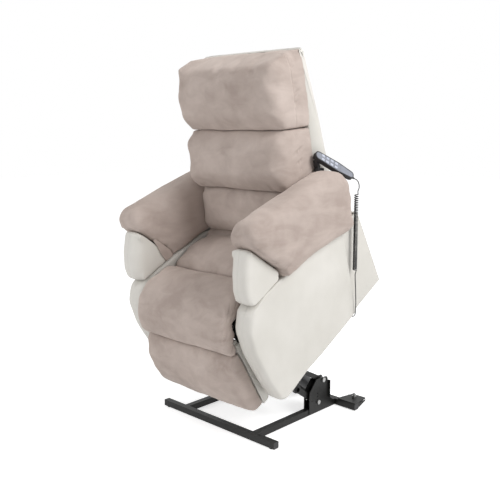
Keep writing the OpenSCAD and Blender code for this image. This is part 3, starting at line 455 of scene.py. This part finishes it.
def stuffed(outline, x0, x1, r0, r1, crown, puff, soft, low, inset=0, rear=(0, 0)):
    """Rings of a stuffed form: the outline spread from x0 to x1, its sides rolled in by r0 and r1.
    It swells by crown where it faces puff. It rolls fully where it faces soft or rear, and by the share
    low elsewhere."""
    o = spaced(outline)
    nrm = outline_normals(o)
    face = np.clip(nrm @ np.array(puff, float), 0, 1) ** 2
    facing = np.maximum(nrm @ np.array(soft, float), nrm @ np.array(rear, float))
    give = low + (1 - low) * np.clip(facing, 0, 1)
    arc = np.radians([0, 18, 36, 54, 72, 90])
    stations = [(x0 + r0 * (1 - math.cos(a)), r0 * (1 - math.sin(a))) for a in arc]
    middle = max(2, math.ceil((x1 - r1 - x0 - r0) / RING_GAP))
    stations += [(x0 + r0 + (x1 - r1 - x0 - r0) * k / middle, 0) for k in range(1, middle)]
    stations += [(x1 - r1 * (1 - math.cos(a)), r1 * (1 - math.sin(a))) for a in arc[::-1]]
    rings = []
    for x, roll in stations:
        w = 2 * (x - x0) / (x1 - x0) - 1
        out = crown * (1 - w * w) * face - roll * give - inset * np.clip(give, 0.3, 1)
        p = o + nrm * out[:, None]
        rings.append(np.column_stack([np.full(len(p), x), p]))
    return np.array(rings)


def skin(name, rings, material):
    """A mesh through rings of equal length, its ends closed by flat caps."""
    m, n = rings.shape[:2]
    points = to_row(rings.reshape(-1, 3))
    faces = []
    for i in range(m - 1):
        for j in range(n):
            k = (j + 1) % n
            faces.append((i * n + j, i * n + k, (i + 1) * n + k, (i + 1) * n + j))
    faces.append(tuple(range(n))[::-1])
    faces.append(tuple((m - 1) * n + j for j in range(n)))
    mesh = bpy.data.meshes.new(name)
    mesh.from_pydata([tuple(p) for p in points], [], faces)
    mesh.validate()
    shape = bmesh.new()
    shape.from_mesh(mesh)
    bmesh.ops.recalc_face_normals(shape, faces=shape.faces)
    shape.to_mesh(mesh)
    shape.free()
    return add_object(name, mesh, material)


def remesh(obj, voxel):
    """Even quads over the whole form, voxel millimetres wide."""
    grid = obj.modifiers.new("grid", "REMESH")
    grid.mode = "VOXEL"
    grid.voxel_size = voxel * MM
    even = obj.modifiers.new("even", "SMOOTH")
    even.factor = 0.5
    even.iterations = 3
    bake(obj)


def subdivide(obj):
    more = obj.modifiers.new("more", "SUBSURF")
    more.levels = 1
    more.render_levels = 1
    bake(obj)


def ripple(points, size, seed):
    """A smooth field from about -1 to 1 whose features are about size millimetres wide."""
    chance = np.random.default_rng(seed)
    total = np.zeros(len(points))
    for _ in range(14):
        way = unit(chance.normal(size=points.shape[1]))
        total += np.sin(points @ way * 2 * math.pi / size * chance.uniform(0.6, 1.5) + chance.uniform(0, 6.3))
    return total / 3.2


def fade(distance, reach):
    """1 at the seam, falling smoothly to 0 at reach."""
    t = np.clip(1 - np.abs(distance) / reach, 0, 1)
    return t * t * (3 - 2 * t)


def push(obj, amount):
    """Moves each vertex along its normal by amount millimetres."""
    set_coords(obj, coords(obj) + normals(obj) * np.asarray(amount)[:, None] * MM)


CLOTH_FRAMES = 20
PRESSURE = 4.0
STIFFNESS = 12
LOOSENESS = 0.01


def inflate(obj, held, cap):
    """Blows the form up as cloth under pressure, by cap millimetres at most.
    held(chair points) is 1 where sewing or the frame holds it."""
    rest = coords(obj)
    weights = np.clip(held(to_chair(rest)), 0, 1)
    group = obj.vertex_groups.new(name="held")
    for i in np.nonzero(weights > 0.02)[0]:
        group.add([int(i)], float(weights[i]), "REPLACE")
    cloth = obj.modifiers.new("cloth", "CLOTH")
    cloth.settings.quality = 5
    cloth.settings.mass = 0.35
    cloth.settings.tension_stiffness = STIFFNESS
    cloth.settings.compression_stiffness = STIFFNESS
    cloth.settings.shear_stiffness = STIFFNESS / 3
    cloth.settings.bending_stiffness = 0.6
    cloth.settings.use_pressure = True
    cloth.settings.uniform_pressure_force = PRESSURE
    cloth.settings.shrink_min = -LOOSENESS
    cloth.settings.effector_weights.gravity = 0
    cloth.settings.vertex_group_mass = "held"
    cloth.point_cache.frame_start = 1
    cloth.point_cache.frame_end = CLOTH_FRAMES
    scene = bpy.context.scene
    for f in range(1, CLOTH_FRAMES + 1):
        scene.frame_set(f)
    graph = bpy.context.evaluated_depsgraph_get()
    mesh = obj.evaluated_get(graph).to_mesh()
    blown = np.zeros(len(mesh.vertices) * 3)
    mesh.vertices.foreach_get("co", blown)
    obj.evaluated_get(graph).to_mesh_clear()
    obj.modifiers.clear()
    obj.vertex_groups.clear()
    scene.frame_set(1)
    move = blown.reshape(-1, 3) - rest
    size = np.linalg.norm(move, axis=1)
    limit = cap * MM
    shorter = limit * np.tanh(size / limit) / np.maximum(size, 1e-9)
    set_coords(obj, rest + move * shorter[:, None])


def dress(obj, body, slot, *nodes):
    """Puts a finished piece on its body, in place of CAD nodes."""
    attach(obj, body)
    if nodes:
        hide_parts(*nodes)
    return obj


# ---------------------------------------------------------------- cushions
# Each outline is a side profile in the chair frame, (y, z) or (y, z, radius of that corner).

LEAN = math.tan(math.radians(17.7))
SEAT_HALF = 252
MID_HALF = 254
HEAD_HALF = 259
CUSHION_VOXEL = 6


def back_line(z):
    """Front face of the timber back frame."""
    return 718 + LEAN * (z - 440)


def relax(obj):
    """Evens out small lumps."""
    even = obj.modifiers.new("even", "SMOOTH")
    even.factor = 0.5
    even.iterations = 12
    bake(obj)


def crease(obj, distance, depth, width):
    """A sewn groove: distance(chair points) is 0 along the seam."""
    away = distance(to_chair(coords(obj)))
    push(obj, -depth * fade(away, width))


def gathers(obj, distance, along, reach, size, depth, seed, slack=0.1):
    """Puckers that run away from a seam: narrow folds of unequal length, deepest beside it."""
    p = to_chair(coords(obj))
    away = np.abs(distance(p))
    t = along(p)
    wave = ripple(np.column_stack([t, away * slack]), size, seed)
    length = reach * (0.62 + 0.38 * np.sin(t / size * 2.1 + seed))
    fold = np.clip(-wave - 0.25, 0, 1) ** 1.3
    near = np.clip(away / 6, 0.25, 1) * fade(away, np.maximum(length, 8))
    push(obj, -depth * fold * near)


def lines(obj, folds, width=4.5):
    """Single soft creases: each fold is its (x, y, z) start, end and depth, and fades out at its ends."""
    p = to_chair(coords(obj))
    total = np.zeros(len(p))
    for a, b, depth in folds:
        a, b = np.array(a, float), np.array(b, float)
        t = (p - a) @ (b - a) / ((b - a) @ (b - a))
        bow = 5 * np.sin(np.clip(t, 0, 1) * math.pi)
        away = np.linalg.norm(p - a - np.clip(t, 0, 1)[:, None] * (b - a), axis=1)
        total += depth * fade(away - bow * 0.3, width * 2.2) * np.sin(np.clip(t, 0, 1) * math.pi) ** 0.7
    push(obj, -total)


def rumple(obj, broad, fine, seed):
    """Hollows and swells of stuffing that has been sat on."""
    p = to_chair(coords(obj))
    push(obj, broad * ripple(p, 190, seed) + fine * ripple(p, 70, seed + 1))


def wrap_sides(obj):
    """Draws the cover's side edges back over the rim of the shell."""
    p = to_chair(coords(obj))
    near_side = np.clip((np.abs(p[:, 0]) - 240) / 12, 0, 1)
    p[:, 1] += 13 * near_side * fade(p[:, 1] - back_line(p[:, 2]), 30)
    set_coords(obj, to_row(p))


def shape_top(obj):
    """Fills out the upper corners of the head cushion's front roll and draws in its top behind them."""
    p = to_chair(coords(obj))
    lead = p[:, 1] - back_line(p[:, 2])
    behind = np.clip((lead + 92) / 45, 0, 1)
    rim = np.clip((-8 - lead) / 30, 0, 1)
    high = np.clip((p[:, 2] - 1000) / 90, 0, 1)
    corner = np.clip((np.abs(p[:, 0]) - 175) / 70, 0, 1)
    lift = np.where(p[:, 0] < 0, 15, 7) * corner * (1 - behind) * np.clip((p[:, 2] - 1030) / 45, 0, 1)
    p[:, 0] *= 1 - 0.085 * behind * rim * high * high
    p[:, 2] += lift
    set_coords(obj, to_row(p))


def side_line(p, lead):
    """Distance from the seam on a cushion's side face, lead millimetres ahead of the back frame."""
    y = p[:, 1] - back_line(p[:, 2]) + lead
    return np.where(p[:, 0] > 222, y, 99)


def back_cushion(name, outline, half, roll, crown, seams, cap, seed):
    """One back cushion: its back lies flat on the frame, its front is blown up between the seams.
    seams are the (y, z) lines of its lower and upper edge, front to rear."""
    forward = (-0.95, 0.3)
    rings = stuffed(rounded(outline), -half, half, roll, roll, crown, forward, forward, 0.04, inset=3)
    obj = skin(name, rings, SUEDE)
    remesh(obj, CUSHION_VOXEL)

    def held(p):
        back = fade(p[:, 1] - back_line(p[:, 2]) - 4, 26)
        edges = [fade(p[:, 2] - np.interp(p[:, 1], *zip(*seam)), 9) for seam in seams]
        return np.maximum.reduce([back, *edges])

    inflate(obj, held, cap)
    relax(obj)
    subdivide(obj)
    rumple(obj, 1.1, 0.3, seed)
    return obj


def make_head():
    outline = [
        (691, 863, 20), (back_line(800) + 0.6, 797, 10), (back_line(1080) + 0.6, 1076, 16), (876, 1093, 22),
        (742, 1096, 34), (688, 1010, 110), (669, 925, 60),
    ]
    seams = (((691, 863), (834, 797)), ((742, 1096), (890, 1093)))
    obj = back_cushion("head_cushion_cover", outline, HEAD_HALF, 26, 9, seams, 8, 11)

    def seam(p):
        return side_line(p, 84)

    def behind_seam(p):
        return np.where(seam(p) > 0, seam(p), 99)

    crease(obj, seam, 2.6, 5)
    gathers(obj, behind_seam, lambda p: p[:, 2], 62, 40, 5, 21)
    gathers(obj, lambda p: p[:, 2] - 1088, lambda p: p[:, 0] + 0.3 * p[:, 1], 60, 90, 3, 22)
    top_right = [
        ((236, 748, 1082), (205, 724, 1042), 2.2), ((200, 758, 1090), (170, 738, 1056), 1.8),
        ((150, 760, 1093), (128, 738, 1060), 1.2), ((246, 700, 868), (214, 684, 900), 2.0),
        ((-60, 760, 1093), (-74, 740, 1064), 1.0), ((60, 760, 1093), (52, 742, 1068), 1.0),
    ]
    lines(obj, top_right)
    wrap_sides(obj)
    shape_top(obj)
    return dress(obj, "backrest", "suede", "head_cushion")


def make_mid():
    outline = [
        (606, 643, 26), (back_line(602) + 0.6, 602, 10), (back_line(796) + 0.6, 796, 12), (700, 861, 24),
        (636, 838, 40), (576, 700, 60),
    ]
    seams = (((606, 643), (768, 602)), ((700, 861), (832, 796)))
    obj = back_cushion("mid_cushion_cover", outline, MID_HALF, 26, 9, seams, 8, 31)
    gathers(obj, lambda p: side_line(p, 92), lambda p: p[:, 2], 56, 44, 4, 41)

    def lower_corners(p):
        return np.where(np.abs(p[:, 0]) > 170, p[:, 2] - 648, 99)

    gathers(obj, lower_corners, lambda p: p[:, 0], 70, 48, 4, 43)
    corner = [
        ((252, 640, 660), (206, 606, 724), 3.0), ((246, 668, 648), (226, 600, 760), 2.6),
        ((254, 700, 640), (250, 640, 720), 2.6), ((250, 690, 846), (216, 652, 812), 2.4),
        ((238, 690, 850), (190, 655, 830), 1.8), ((-236, 690, 850), (-200, 655, 830), 1.6),
        ((-240, 620, 660), (-196, 594, 700), 2.0),
    ]
    lines(obj, corner)
    wrap_sides(obj)
    return dress(obj, "backrest", "suede", "mid_cushion")


def make_lumbar():
    outline = [
        (564, 450, 16), (back_line(440) + 0.6, 440, 8), (back_line(598) + 0.6, 598, 8), (630, 634, 16),
        (594, 606, 30), (548, 490, 30),
    ]
    seams = (((564, 450), (718, 440)), ((630, 634), (768, 598)))
    obj = back_cushion("lumbar_cushion_cover", outline, SEAT_HALF, 24, 6, seams, 7, 51)
    gathers(obj, lambda p: p[:, 2] - 628, lambda p: p[:, 0], 46, 70, 2.4, 61)
    return dress(obj, "backrest", "suede", "lumbar_cushion")


def make_seat():
    outline = [
        (322, 404, 8), (578, 404, 6), (577, 421, 8), (556, 428, 14), (505, 450, 40), (430, 462, 60),
        (345, 454, 24), (322, 430, 12),
    ]
    rings = stuffed(rounded(outline), -SEAT_HALF, SEAT_HALF, 26, 26, 13, (0, 1), (0, 1), 0.1, inset=4)
    obj = skin("seat_cushion_cover", rings, SUEDE)
    remesh(obj, CUSHION_VOXEL)

    def held(p):
        front, back = fade(p[:, 1] - 322, 16), fade(p[:, 1] - 577, 30)
        return np.maximum.reduce([fade(p[:, 2] - 404, 14), front * 0.8, back])

    inflate(obj, held, 9)
    relax(obj)
    subdivide(obj)
    rumple(obj, 1.5, 0.4, 71)
    gathers(obj, lambda p: p[:, 1] - 324, lambda p: p[:, 0], 40, 50, 2.4, 72)
    lines(obj, [((-236, 352, 452), (-150, 372, 462), 2.0), ((-240, 420, 458), (-180, 400, 464), 1.6)])
    return dress(obj, "chassis", "suede", "seat_cushion")


def make_apron():
    """Suede tucked between the seat and the back, which hides the hinge side."""
    profile = np.array([(520, 434), (548, 433), (566, 437), (580, 446), (592, 462), (600, 484)], float)
    across = outline_normals(profile)
    across[0], across[-1] = across[1], across[-2]
    rings = []
    for x in np.linspace(-246, 246, 60):
        sag = 2.5 * math.sin(x / 31) * math.sin(x / 83)
        face = profile - across * (sag - 1)
        ring = np.vstack([face, (face + across * 3)[::-1]])
        rings.append(np.column_stack([np.full(len(ring), x), ring]))
    obj = skin("seat_back_apron", np.array(rings), SUEDE)
    subdivide(obj)
    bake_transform(obj)


def make_shin_pad():
    """The long pad from the seat's front edge over the knee down to the legrest's cross seam."""
    outline = [
        (318, 406, 8), (321, 440, 12), (285, 468, 36), (170, 479, 70), (94, 452, 60), (57, 385, 80),
        (48, 326, 34), (66, 290, 8), (82, 290, 6), (97, 300, 10), (97, 338, 20), (120, 362, 16),
        (126, 404, 4),
    ]
    half = 252
    rings = stuffed(rounded(outline), -half, half, 26, 26, 8, (-0.8, 0.6), (-0.6, 0.8), 0.1, inset=3)
    obj = skin("shin_pad_cover", rings, SUEDE)
    remesh(obj, CUSHION_VOXEL)

    def held(p):
        under = fade(p[:, 1] - 97, 20) * (p[:, 2] < 345) + fade(p[:, 2] - 404, 16) * (p[:, 1] > 120)
        seams = np.maximum(fade(p[:, 2] - 288, 20), fade(p[:, 1] - 321, 16))
        return np.maximum(under, seams)

    inflate(obj, held, 9)
    relax(obj)
    subdivide(obj)
    rumple(obj, 1.3, 0.35, 81)
    edge = half + 4

    def down(p):
        return p[:, 2] - 0.7 * p[:, 1]

    gathers(obj, lambda p: np.where(p[:, 0] > 150, p[:, 0] - edge, 99), down, 72, 24, 8, 82, 0.15)
    gathers(obj, lambda p: np.where(p[:, 0] < -150, p[:, 0] + edge, 99), down, 60, 34, 2.5, 84)
    gathers(obj, lambda p: p[:, 2] - 290, lambda p: p[:, 0], 50, 90, 3, 83)
    lines(obj, [
        ((247, 122, 455), (204, 98, 457), 4.0), ((247, 90, 434), (192, 75, 433), 4.4),
        ((247, 78, 408), (206, 64, 404), 4.0), ((247, 68, 381), (188, 55, 376), 4.4),
        ((247, 62, 354), (210, 50, 350), 4.2), ((247, 60, 332), (194, 48, 332), 4.2),
        ((226, 60, 300), (120, 46, 330), 2.6), ((228, 60, 312), (150, 48, 352), 2.2),
        ((-130, 66, 404), (60, 60, 398), 1.6), ((-190, 90, 440), (-60, 84, 436), 1.2),
        ((210, 190, 476), (150, 150, 478), 2.0), ((220, 240, 470), (150, 250, 474), 1.8),
    ])
    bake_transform(obj)
    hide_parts("knee_pad")
    return obj


def make_calf_pad():
    """The lower legrest pad, from the cross seam down and round the board's lower edge."""
    outline = [
        (98, 290, 6), (66, 288, 12), (48, 274, 16), (20, 215, 60), (11, 150, 60), (16, 76, 40), (44, 23, 18),
        (98, 21, 8),
    ]
    half = 252
    rings = stuffed(rounded(outline), -half, half, 15, 15, 8, (-1, 0), (-1, 0), 0.06, inset=3)
    obj = skin("calf_pad_cover", rings, SUEDE)
    remesh(obj, CUSHION_VOXEL)

    def held(p):
        back, top, bottom = fade(p[:, 1] - 97, 20), fade(p[:, 2] - 290, 20), fade(p[:, 2] - 22, 10)
        return np.maximum.reduce([back, top, bottom * 0.8])

    inflate(obj, held, 8)
    relax(obj)
    subdivide(obj)
    rumple(obj, 1.2, 0.35, 91)
    gathers(obj, lambda p: p[:, 2] - 290, lambda p: p[:, 0], 60, 60, 3.5, 92)
    right = half + 4
    gathers(obj, lambda p: np.where(p[:, 0] > 150, p[:, 0] - right, 99), lambda p: p[:, 2], 50, 60, 3.5, 93)
    lines(obj, [
        ((236, 50, 280), (196, 30, 232), 3.4), ((214, 52, 284), (180, 32, 244), 2.8),
        ((246, 50, 262), (226, 24, 200), 2.8), ((180, 52, 284), (150, 36, 256), 1.8),
    ])
    return dress(obj, "legrest", "suede", "legrest_pad")


# ---------------------------------------------------------------- arms

PANEL_IN, PANEL_OUT = 258.3, 350
ARM_PAD_IN, ARM_PAD_W = 256.5, 126


def mirrored(obj, name):
    """The same piece on the sitter's right."""
    mesh = obj.data.copy()
    mesh.transform(Matrix.Scale(-1, 4, (1, 0, 0)))
    mesh.flip_normals()
    twin = bpy.data.objects.new(name, mesh)
    bpy.context.scene.collection.objects.link(twin)
    return twin


def make_arm_pads():
    outline = [
        (337, 464.3, 6), (540, 447.3), (716, 402.3, 20), (774, 401, 30), (820, 505, 60), (832, 571, 50),
        (806, 626, 50), (766, 654, 50), (726, 674), (516, 711), (378, 730), (286, 739, 46), (256, 708, 40),
        (252, 665, 16), (263, 646, 3), (342.6, 496.6, 8),
    ]
    x1 = ARM_PAD_IN + ARM_PAD_W
    shape = {"soft": (-0.25, 0.97), "low": 0.1, "inset": 3, "rear": (0.75, 0)}
    rings = stuffed(rounded(outline), ARM_PAD_IN, x1, 46, 36, 0, (0, 0), **shape)
    obj = skin("arm_pad_cover_left", rings, SUEDE)
    remesh(obj, CUSHION_VOXEL)

    def seat_line(p):
        return p[:, 2] - np.interp(p[:, 1], [337, 540, 716, 788], [464, 447, 402, 400])

    def front_line(p):
        """Distance from the edge where the pad meets the cream arm front."""
        a, b = np.array([257.6, 648]), np.array([342.6, 496.6])
        q = p[:, 1:] - a
        t = np.clip(q @ (b - a) / ((b - a) @ (b - a)), 0, 1)
        return np.linalg.norm(q - t[:, None] * (b - a), axis=1)

    def held(p):
        nose = fade(p[:, 2] - 651, 14) * (p[:, 1] < 262)
        return np.maximum.reduce([fade(seat_line(p), 14), fade(front_line(p), 16), nose])

    def along(p):
        return 0.87 * p[:, 2] - 0.49 * p[:, 1] + 0.15 * p[:, 0]

    inflate(obj, held, 8)
    relax(obj)
    subdivide(obj)
    rumple(obj, 1.3, 0.35, 101)
    gathers(obj, front_line, along, 54, 34, 4, 102)
    gathers(obj, seat_line, lambda p: p[:, 1], 26, 60, 1.6, 103)
    gathers(obj, lambda p: np.where(p[:, 1] < 290, p[:, 2] - 650, 99), lambda p: p[:, 0], 34, 30, 2.5, 104)
    lines(obj, [
        ((372, 330, 560), (378, 380, 604), 2.6), ((372, 316, 586), (380, 352, 640), 2.4),
        ((366, 344, 520), (376, 420, 556), 2.4), ((352, 268, 660), (360, 286, 700), 2.2),
        ((300, 262, 664), (302, 272, 704), 2.0),
    ])
    twin = mirrored(obj, "arm_pad_cover_right")
    dress(obj, "chassis", "suede", "arm_pad_left")
    dress(twin, "chassis", "suede", "arm_pad_right")
    return obj, twin


def top_seam(p):
    """Distance from the seam between a panel's side and its padded front."""
    return p[:, 0] - PANEL_IN - 52


def make_arm_fronts():
    outline = [
        (170, 468.3, 20), (326, 466, 3), (342, 496, 4), (264, 642, 4), (253, 661, 12), (226, 632, 24),
        (190, 586, 50), (162, 530, 50), (156, 492, 26),
    ]
    shape = {"soft": (-0.9, 0.43), "low": 0.08, "inset": 0.5, "rear": (-0.3, 0.95)}
    rings = stuffed(rounded(outline), PANEL_IN, PANEL_OUT, 46, 20, 0, (0, 0), **shape)
    obj = skin("arm_front_cover_left", rings, CREAM)
    remesh(obj, 5)
    subdivide(obj)
    rumple(obj, 0.9, 0.25, 111)
    crease(obj, top_seam, 2.0, 4.5)
    twin = mirrored(obj, "arm_front_cover_right")
    dress(obj, "chassis", "cream_leather", "arm_front_left")
    dress(twin, "chassis", "cream_leather", "arm_front_right")
    return obj, twin


def make_side_panels():
    outline = [
        (110, 45, 34), (641, 45, 3), (716, 402, 12), (540, 447), (336, 464), (236, 468, 30), (150, 449, 50),
        (104, 398, 60), (89, 305, 100), (94, 165, 80),
    ]
    rings = stuffed(rounded(outline), PANEL_IN, PANEL_OUT, 36, 18, 0, (0, 0), (-1, 0), 0.12, inset=0.5)
    obj = skin("side_panel_cover_left", rings, CREAM)
    remesh(obj, 6)
    subdivide(obj)
    rumple(obj, 1.2, 0.2, 121)
    crease(obj, top_seam, 2.0, 4.5)
    twin = mirrored(obj, "side_panel_cover_right")
    dress(obj, "chassis", "cream_leather", "side_panel_left")
    dress(twin, "chassis", "cream_leather", "side_panel_right")
    return obj, twin


# ---------------------------------------------------------------- rear covers

SKIRT_Y, SKIRT_X, SKIRT_T = 850, 335, 10
NOTCH_HALF, NOTCH_Z = 258, 275


def flat_panel(name, outline, to_3d, thick, material, rim=3.0):
    """A padded board of even thickness with soft edges.
    to_3d places its (u, v, depth) points in the chair."""
    shape = bmesh.new()
    front = [shape.verts.new(chair_point(*to_3d(u, v, 0))) for u, v in outline]
    back = [shape.verts.new(chair_point(*to_3d(u, v, thick))) for u, v in outline]
    n = len(outline)
    shape.faces.new(front)
    shape.faces.new(back[::-1])
    for i in range(n):
        j = (i + 1) % n
        shape.faces.new((front[j], front[i], back[i], back[j]))
    bmesh.ops.recalc_face_normals(shape, faces=shape.faces)
    mesh = bpy.data.meshes.new(name)
    shape.to_mesh(mesh)
    shape.free()
    obj = add_object(name, mesh, material)
    soften = obj.modifiers.new("rim", "BEVEL")
    soften.width = rim * MM
    soften.segments = 3
    soften.limit_method = "ANGLE"
    soften.angle_limit = math.radians(40)
    bake(obj)
    return obj


def make_rear_skirt():
    rear_y = SKIRT_Y - SKIRT_T / 2
    wing = rounded([(640.8, 45, 3), (rear_y, 45, 6), (rear_y, 400, 10), (715.8, 400)])
    pieces = []
    for side, sign in (("left", 1), ("right", -1)):
        place = lambda u, v, d, sign=sign: (sign * (SKIRT_X - d), u, v)
        pieces.append(flat_panel("skirt_wing_" + side, wing, place, SKIRT_T, CREAM))
    edge = SKIRT_X
    rear = [
        (-edge, 45), (edge, 45), (edge, 400), (NOTCH_HALF, 400), (NOTCH_HALF, NOTCH_Z),
        (-NOTCH_HALF, NOTCH_Z), (-NOTCH_HALF, 400), (-edge, 400),
    ]
    pieces.append(flat_panel("skirt_rear", rear, lambda u, v, d: (u, SKIRT_Y - d, v), SKIRT_T, CREAM))
    for piece in pieces:
        dress(piece, "chassis", "cream_leather", "rear_skirt")


def make_arm_flaps():
    """The arm pad's cover where it runs down inside the cream arm front."""
    outline = rounded([
        (292, 588, 5), (297, 560, 30), (298, 510, 40), (304, 471, 8), (346, 470, 4), (346, 500, 6),
        (306, 584, 8),
    ])
    for side, sign in (("left", 1), ("right", -1)):
        place = lambda u, v, d, sign=sign: (sign * (254.6 + d), u, v)
        flap = flat_panel("arm_flap_" + side, outline, place, 3.4, SUEDE, 1.4)
        dress(flap, "chassis", "suede")


BACK_TOP = 1072
SHELL_HALF = 252
SHELL_WALL = 6


def make_back_shell():
    """The upholstered shell behind the back, open below and towards the cushions."""
    outline = rounded([
        (838, 280), (848, 440), (862, 560), (880, 680), (903, 803), (942, BACK_TOP, 16),
        (back_line(BACK_TOP) + 4, BACK_TOP, 4), (back_line(440) + 1, 440), (722, 380), (724, 280),
    ])
    rings = stuffed(outline, -SHELL_HALF, SHELL_HALF, 18, 18, 5, (1, 0), (0.96, 0.3), 0.02)
    obj = skin("back_shell_cover", rings, CREAM)
    shape = bmesh.new()
    shape.from_mesh(obj.data)
    for face in list(shape.faces):
        if len(face.verts) > 4:
            continue
        p = to_chair([face.calc_center_median()])[0]
        if p[2] < 283 or (p[1] < back_line(max(p[2], 440)) + 2.5 and p[2] < BACK_TOP - 4):
            shape.faces.remove(face)
    shape.to_mesh(obj.data)
    shape.free()
    wall = obj.modifiers.new("wall", "SOLIDIFY")
    wall.thickness = SHELL_WALL * MM
    wall.offset = -1
    bake(obj)
    dress(obj, "backrest", "cream_leather", "back_shell")


def make_head_flap():
    """Suede that runs from the head cushion back over the shell's top."""
    top = BACK_TOP + 1.2
    rear = 934
    half = 205
    outline = np.array([
        (back_line(BACK_TOP) + 2, top), (rear - 16, top), (rear, top - 4), (rear - 2, top - 14),
    ])
    rings = []
    for x in np.linspace(-half, half, 42):
        lift = 2.2 * (1 - (x / half) ** 4)
        upper = np.column_stack([np.full(4, x), outline[:, 0], outline[:, 1] + lift])
        lower = upper - [0, 0, 3.2]
        rings.append(np.vstack([upper, lower[::-1]]))
    obj = skin("head_flap", np.array(rings), SUEDE)
    dress(obj, "backrest", "suede")


cushions = [
    make_head(), make_mid(), make_lumbar(), make_seat(), make_shin_pad(), make_calf_pad(), *make_arm_pads(),
]
for board in (*make_arm_fronts(), *make_side_panels()):
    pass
make_apron()
make_arm_flaps()
make_rear_skirt()
make_back_shell()
make_head_flap()
finish_cad_nodes()

# ---------------------------------------------------------------- studio


def make_floor():
    mesh = bpy.data.meshes.new("floor")
    r = 14
    mesh.from_pydata([(-r, -r, 0), (r, -r, 0), (r, r, 0), (-r, r, 0)], [], [(0, 1, 2, 3)])
    floor = bpy.data.objects.new("floor", mesh)
    bpy.context.scene.collection.objects.link(floor)
    s = Shader("floor", Roughness=0.9, Specular_IOR_Level=0.0)
    s.surface.inputs["Base Color"].default_value = (0.84, 0.84, 0.84, 1)
    seen = s.node("LightPath")
    glow = s.node("Emission", {"Color": (1, 1, 1, 1), "Strength": 0.64})
    both = s.node("AddShader", {0: s.surface.outputs[0], 1: glow.outputs[0]})
    rays = s.math("MAXIMUM", seen.outputs["Is Camera Ray"], seen.outputs["Is Glossy Ray"])
    choice = s.node("MixShader", {0: rays, 1: s.surface.outputs[0], 2: both.outputs[0]})
    s.tree.links.new(choice.outputs[0], s.tree.nodes["Material Output"].inputs["Surface"])
    mesh.materials.append(s.material)


def make_world():
    world = bpy.data.worlds.new("studio")
    world.use_nodes = True
    bpy.context.scene.world = world
    tree = world.node_tree
    background = tree.nodes["Background"]
    background.inputs["Color"].default_value = (1, 1, 1, 1)
    rays = tree.nodes.new("ShaderNodeLightPath")
    shown = tree.nodes.new("ShaderNodeMath")
    shown.operation = "MAXIMUM"
    tree.links.new(rays.outputs["Is Camera Ray"], shown.inputs[0])
    tree.links.new(rays.outputs["Is Glossy Ray"], shown.inputs[1])
    strength = tree.nodes.new("ShaderNodeMapRange")
    strength.inputs["To Min"].default_value = 0.55
    strength.inputs["To Max"].default_value = 1.0
    tree.links.new(shown.outputs[0], strength.inputs["Value"])
    tree.links.new(strength.outputs[0], background.inputs["Strength"])


def area_light(name, at, towards, size, watts):
    data = bpy.data.lights.new(name, "AREA")
    data.shape = "DISK"
    data.size = size
    data.energy = watts
    light = bpy.data.objects.new(name, data)
    light.location = at
    light.rotation_euler = (Vector(towards) - Vector(at)).to_track_quat("-Z", "Y").to_euler()
    bpy.context.scene.collection.objects.link(light)


make_floor()
make_world()
area_light("key", (2.9, 0.4, 2.9), (0, 0, 0.8), 1.8, 88)
area_light("fill", (-1.2, -3.2, 1.7), (0, 0, 0.7), 2.4, 33)
area_light("top", (0.2, 0.4, 3.6), (0, 0, 0.8), 2.2, 9)
bpy.context.scene.view_settings.view_transform = "Standard"
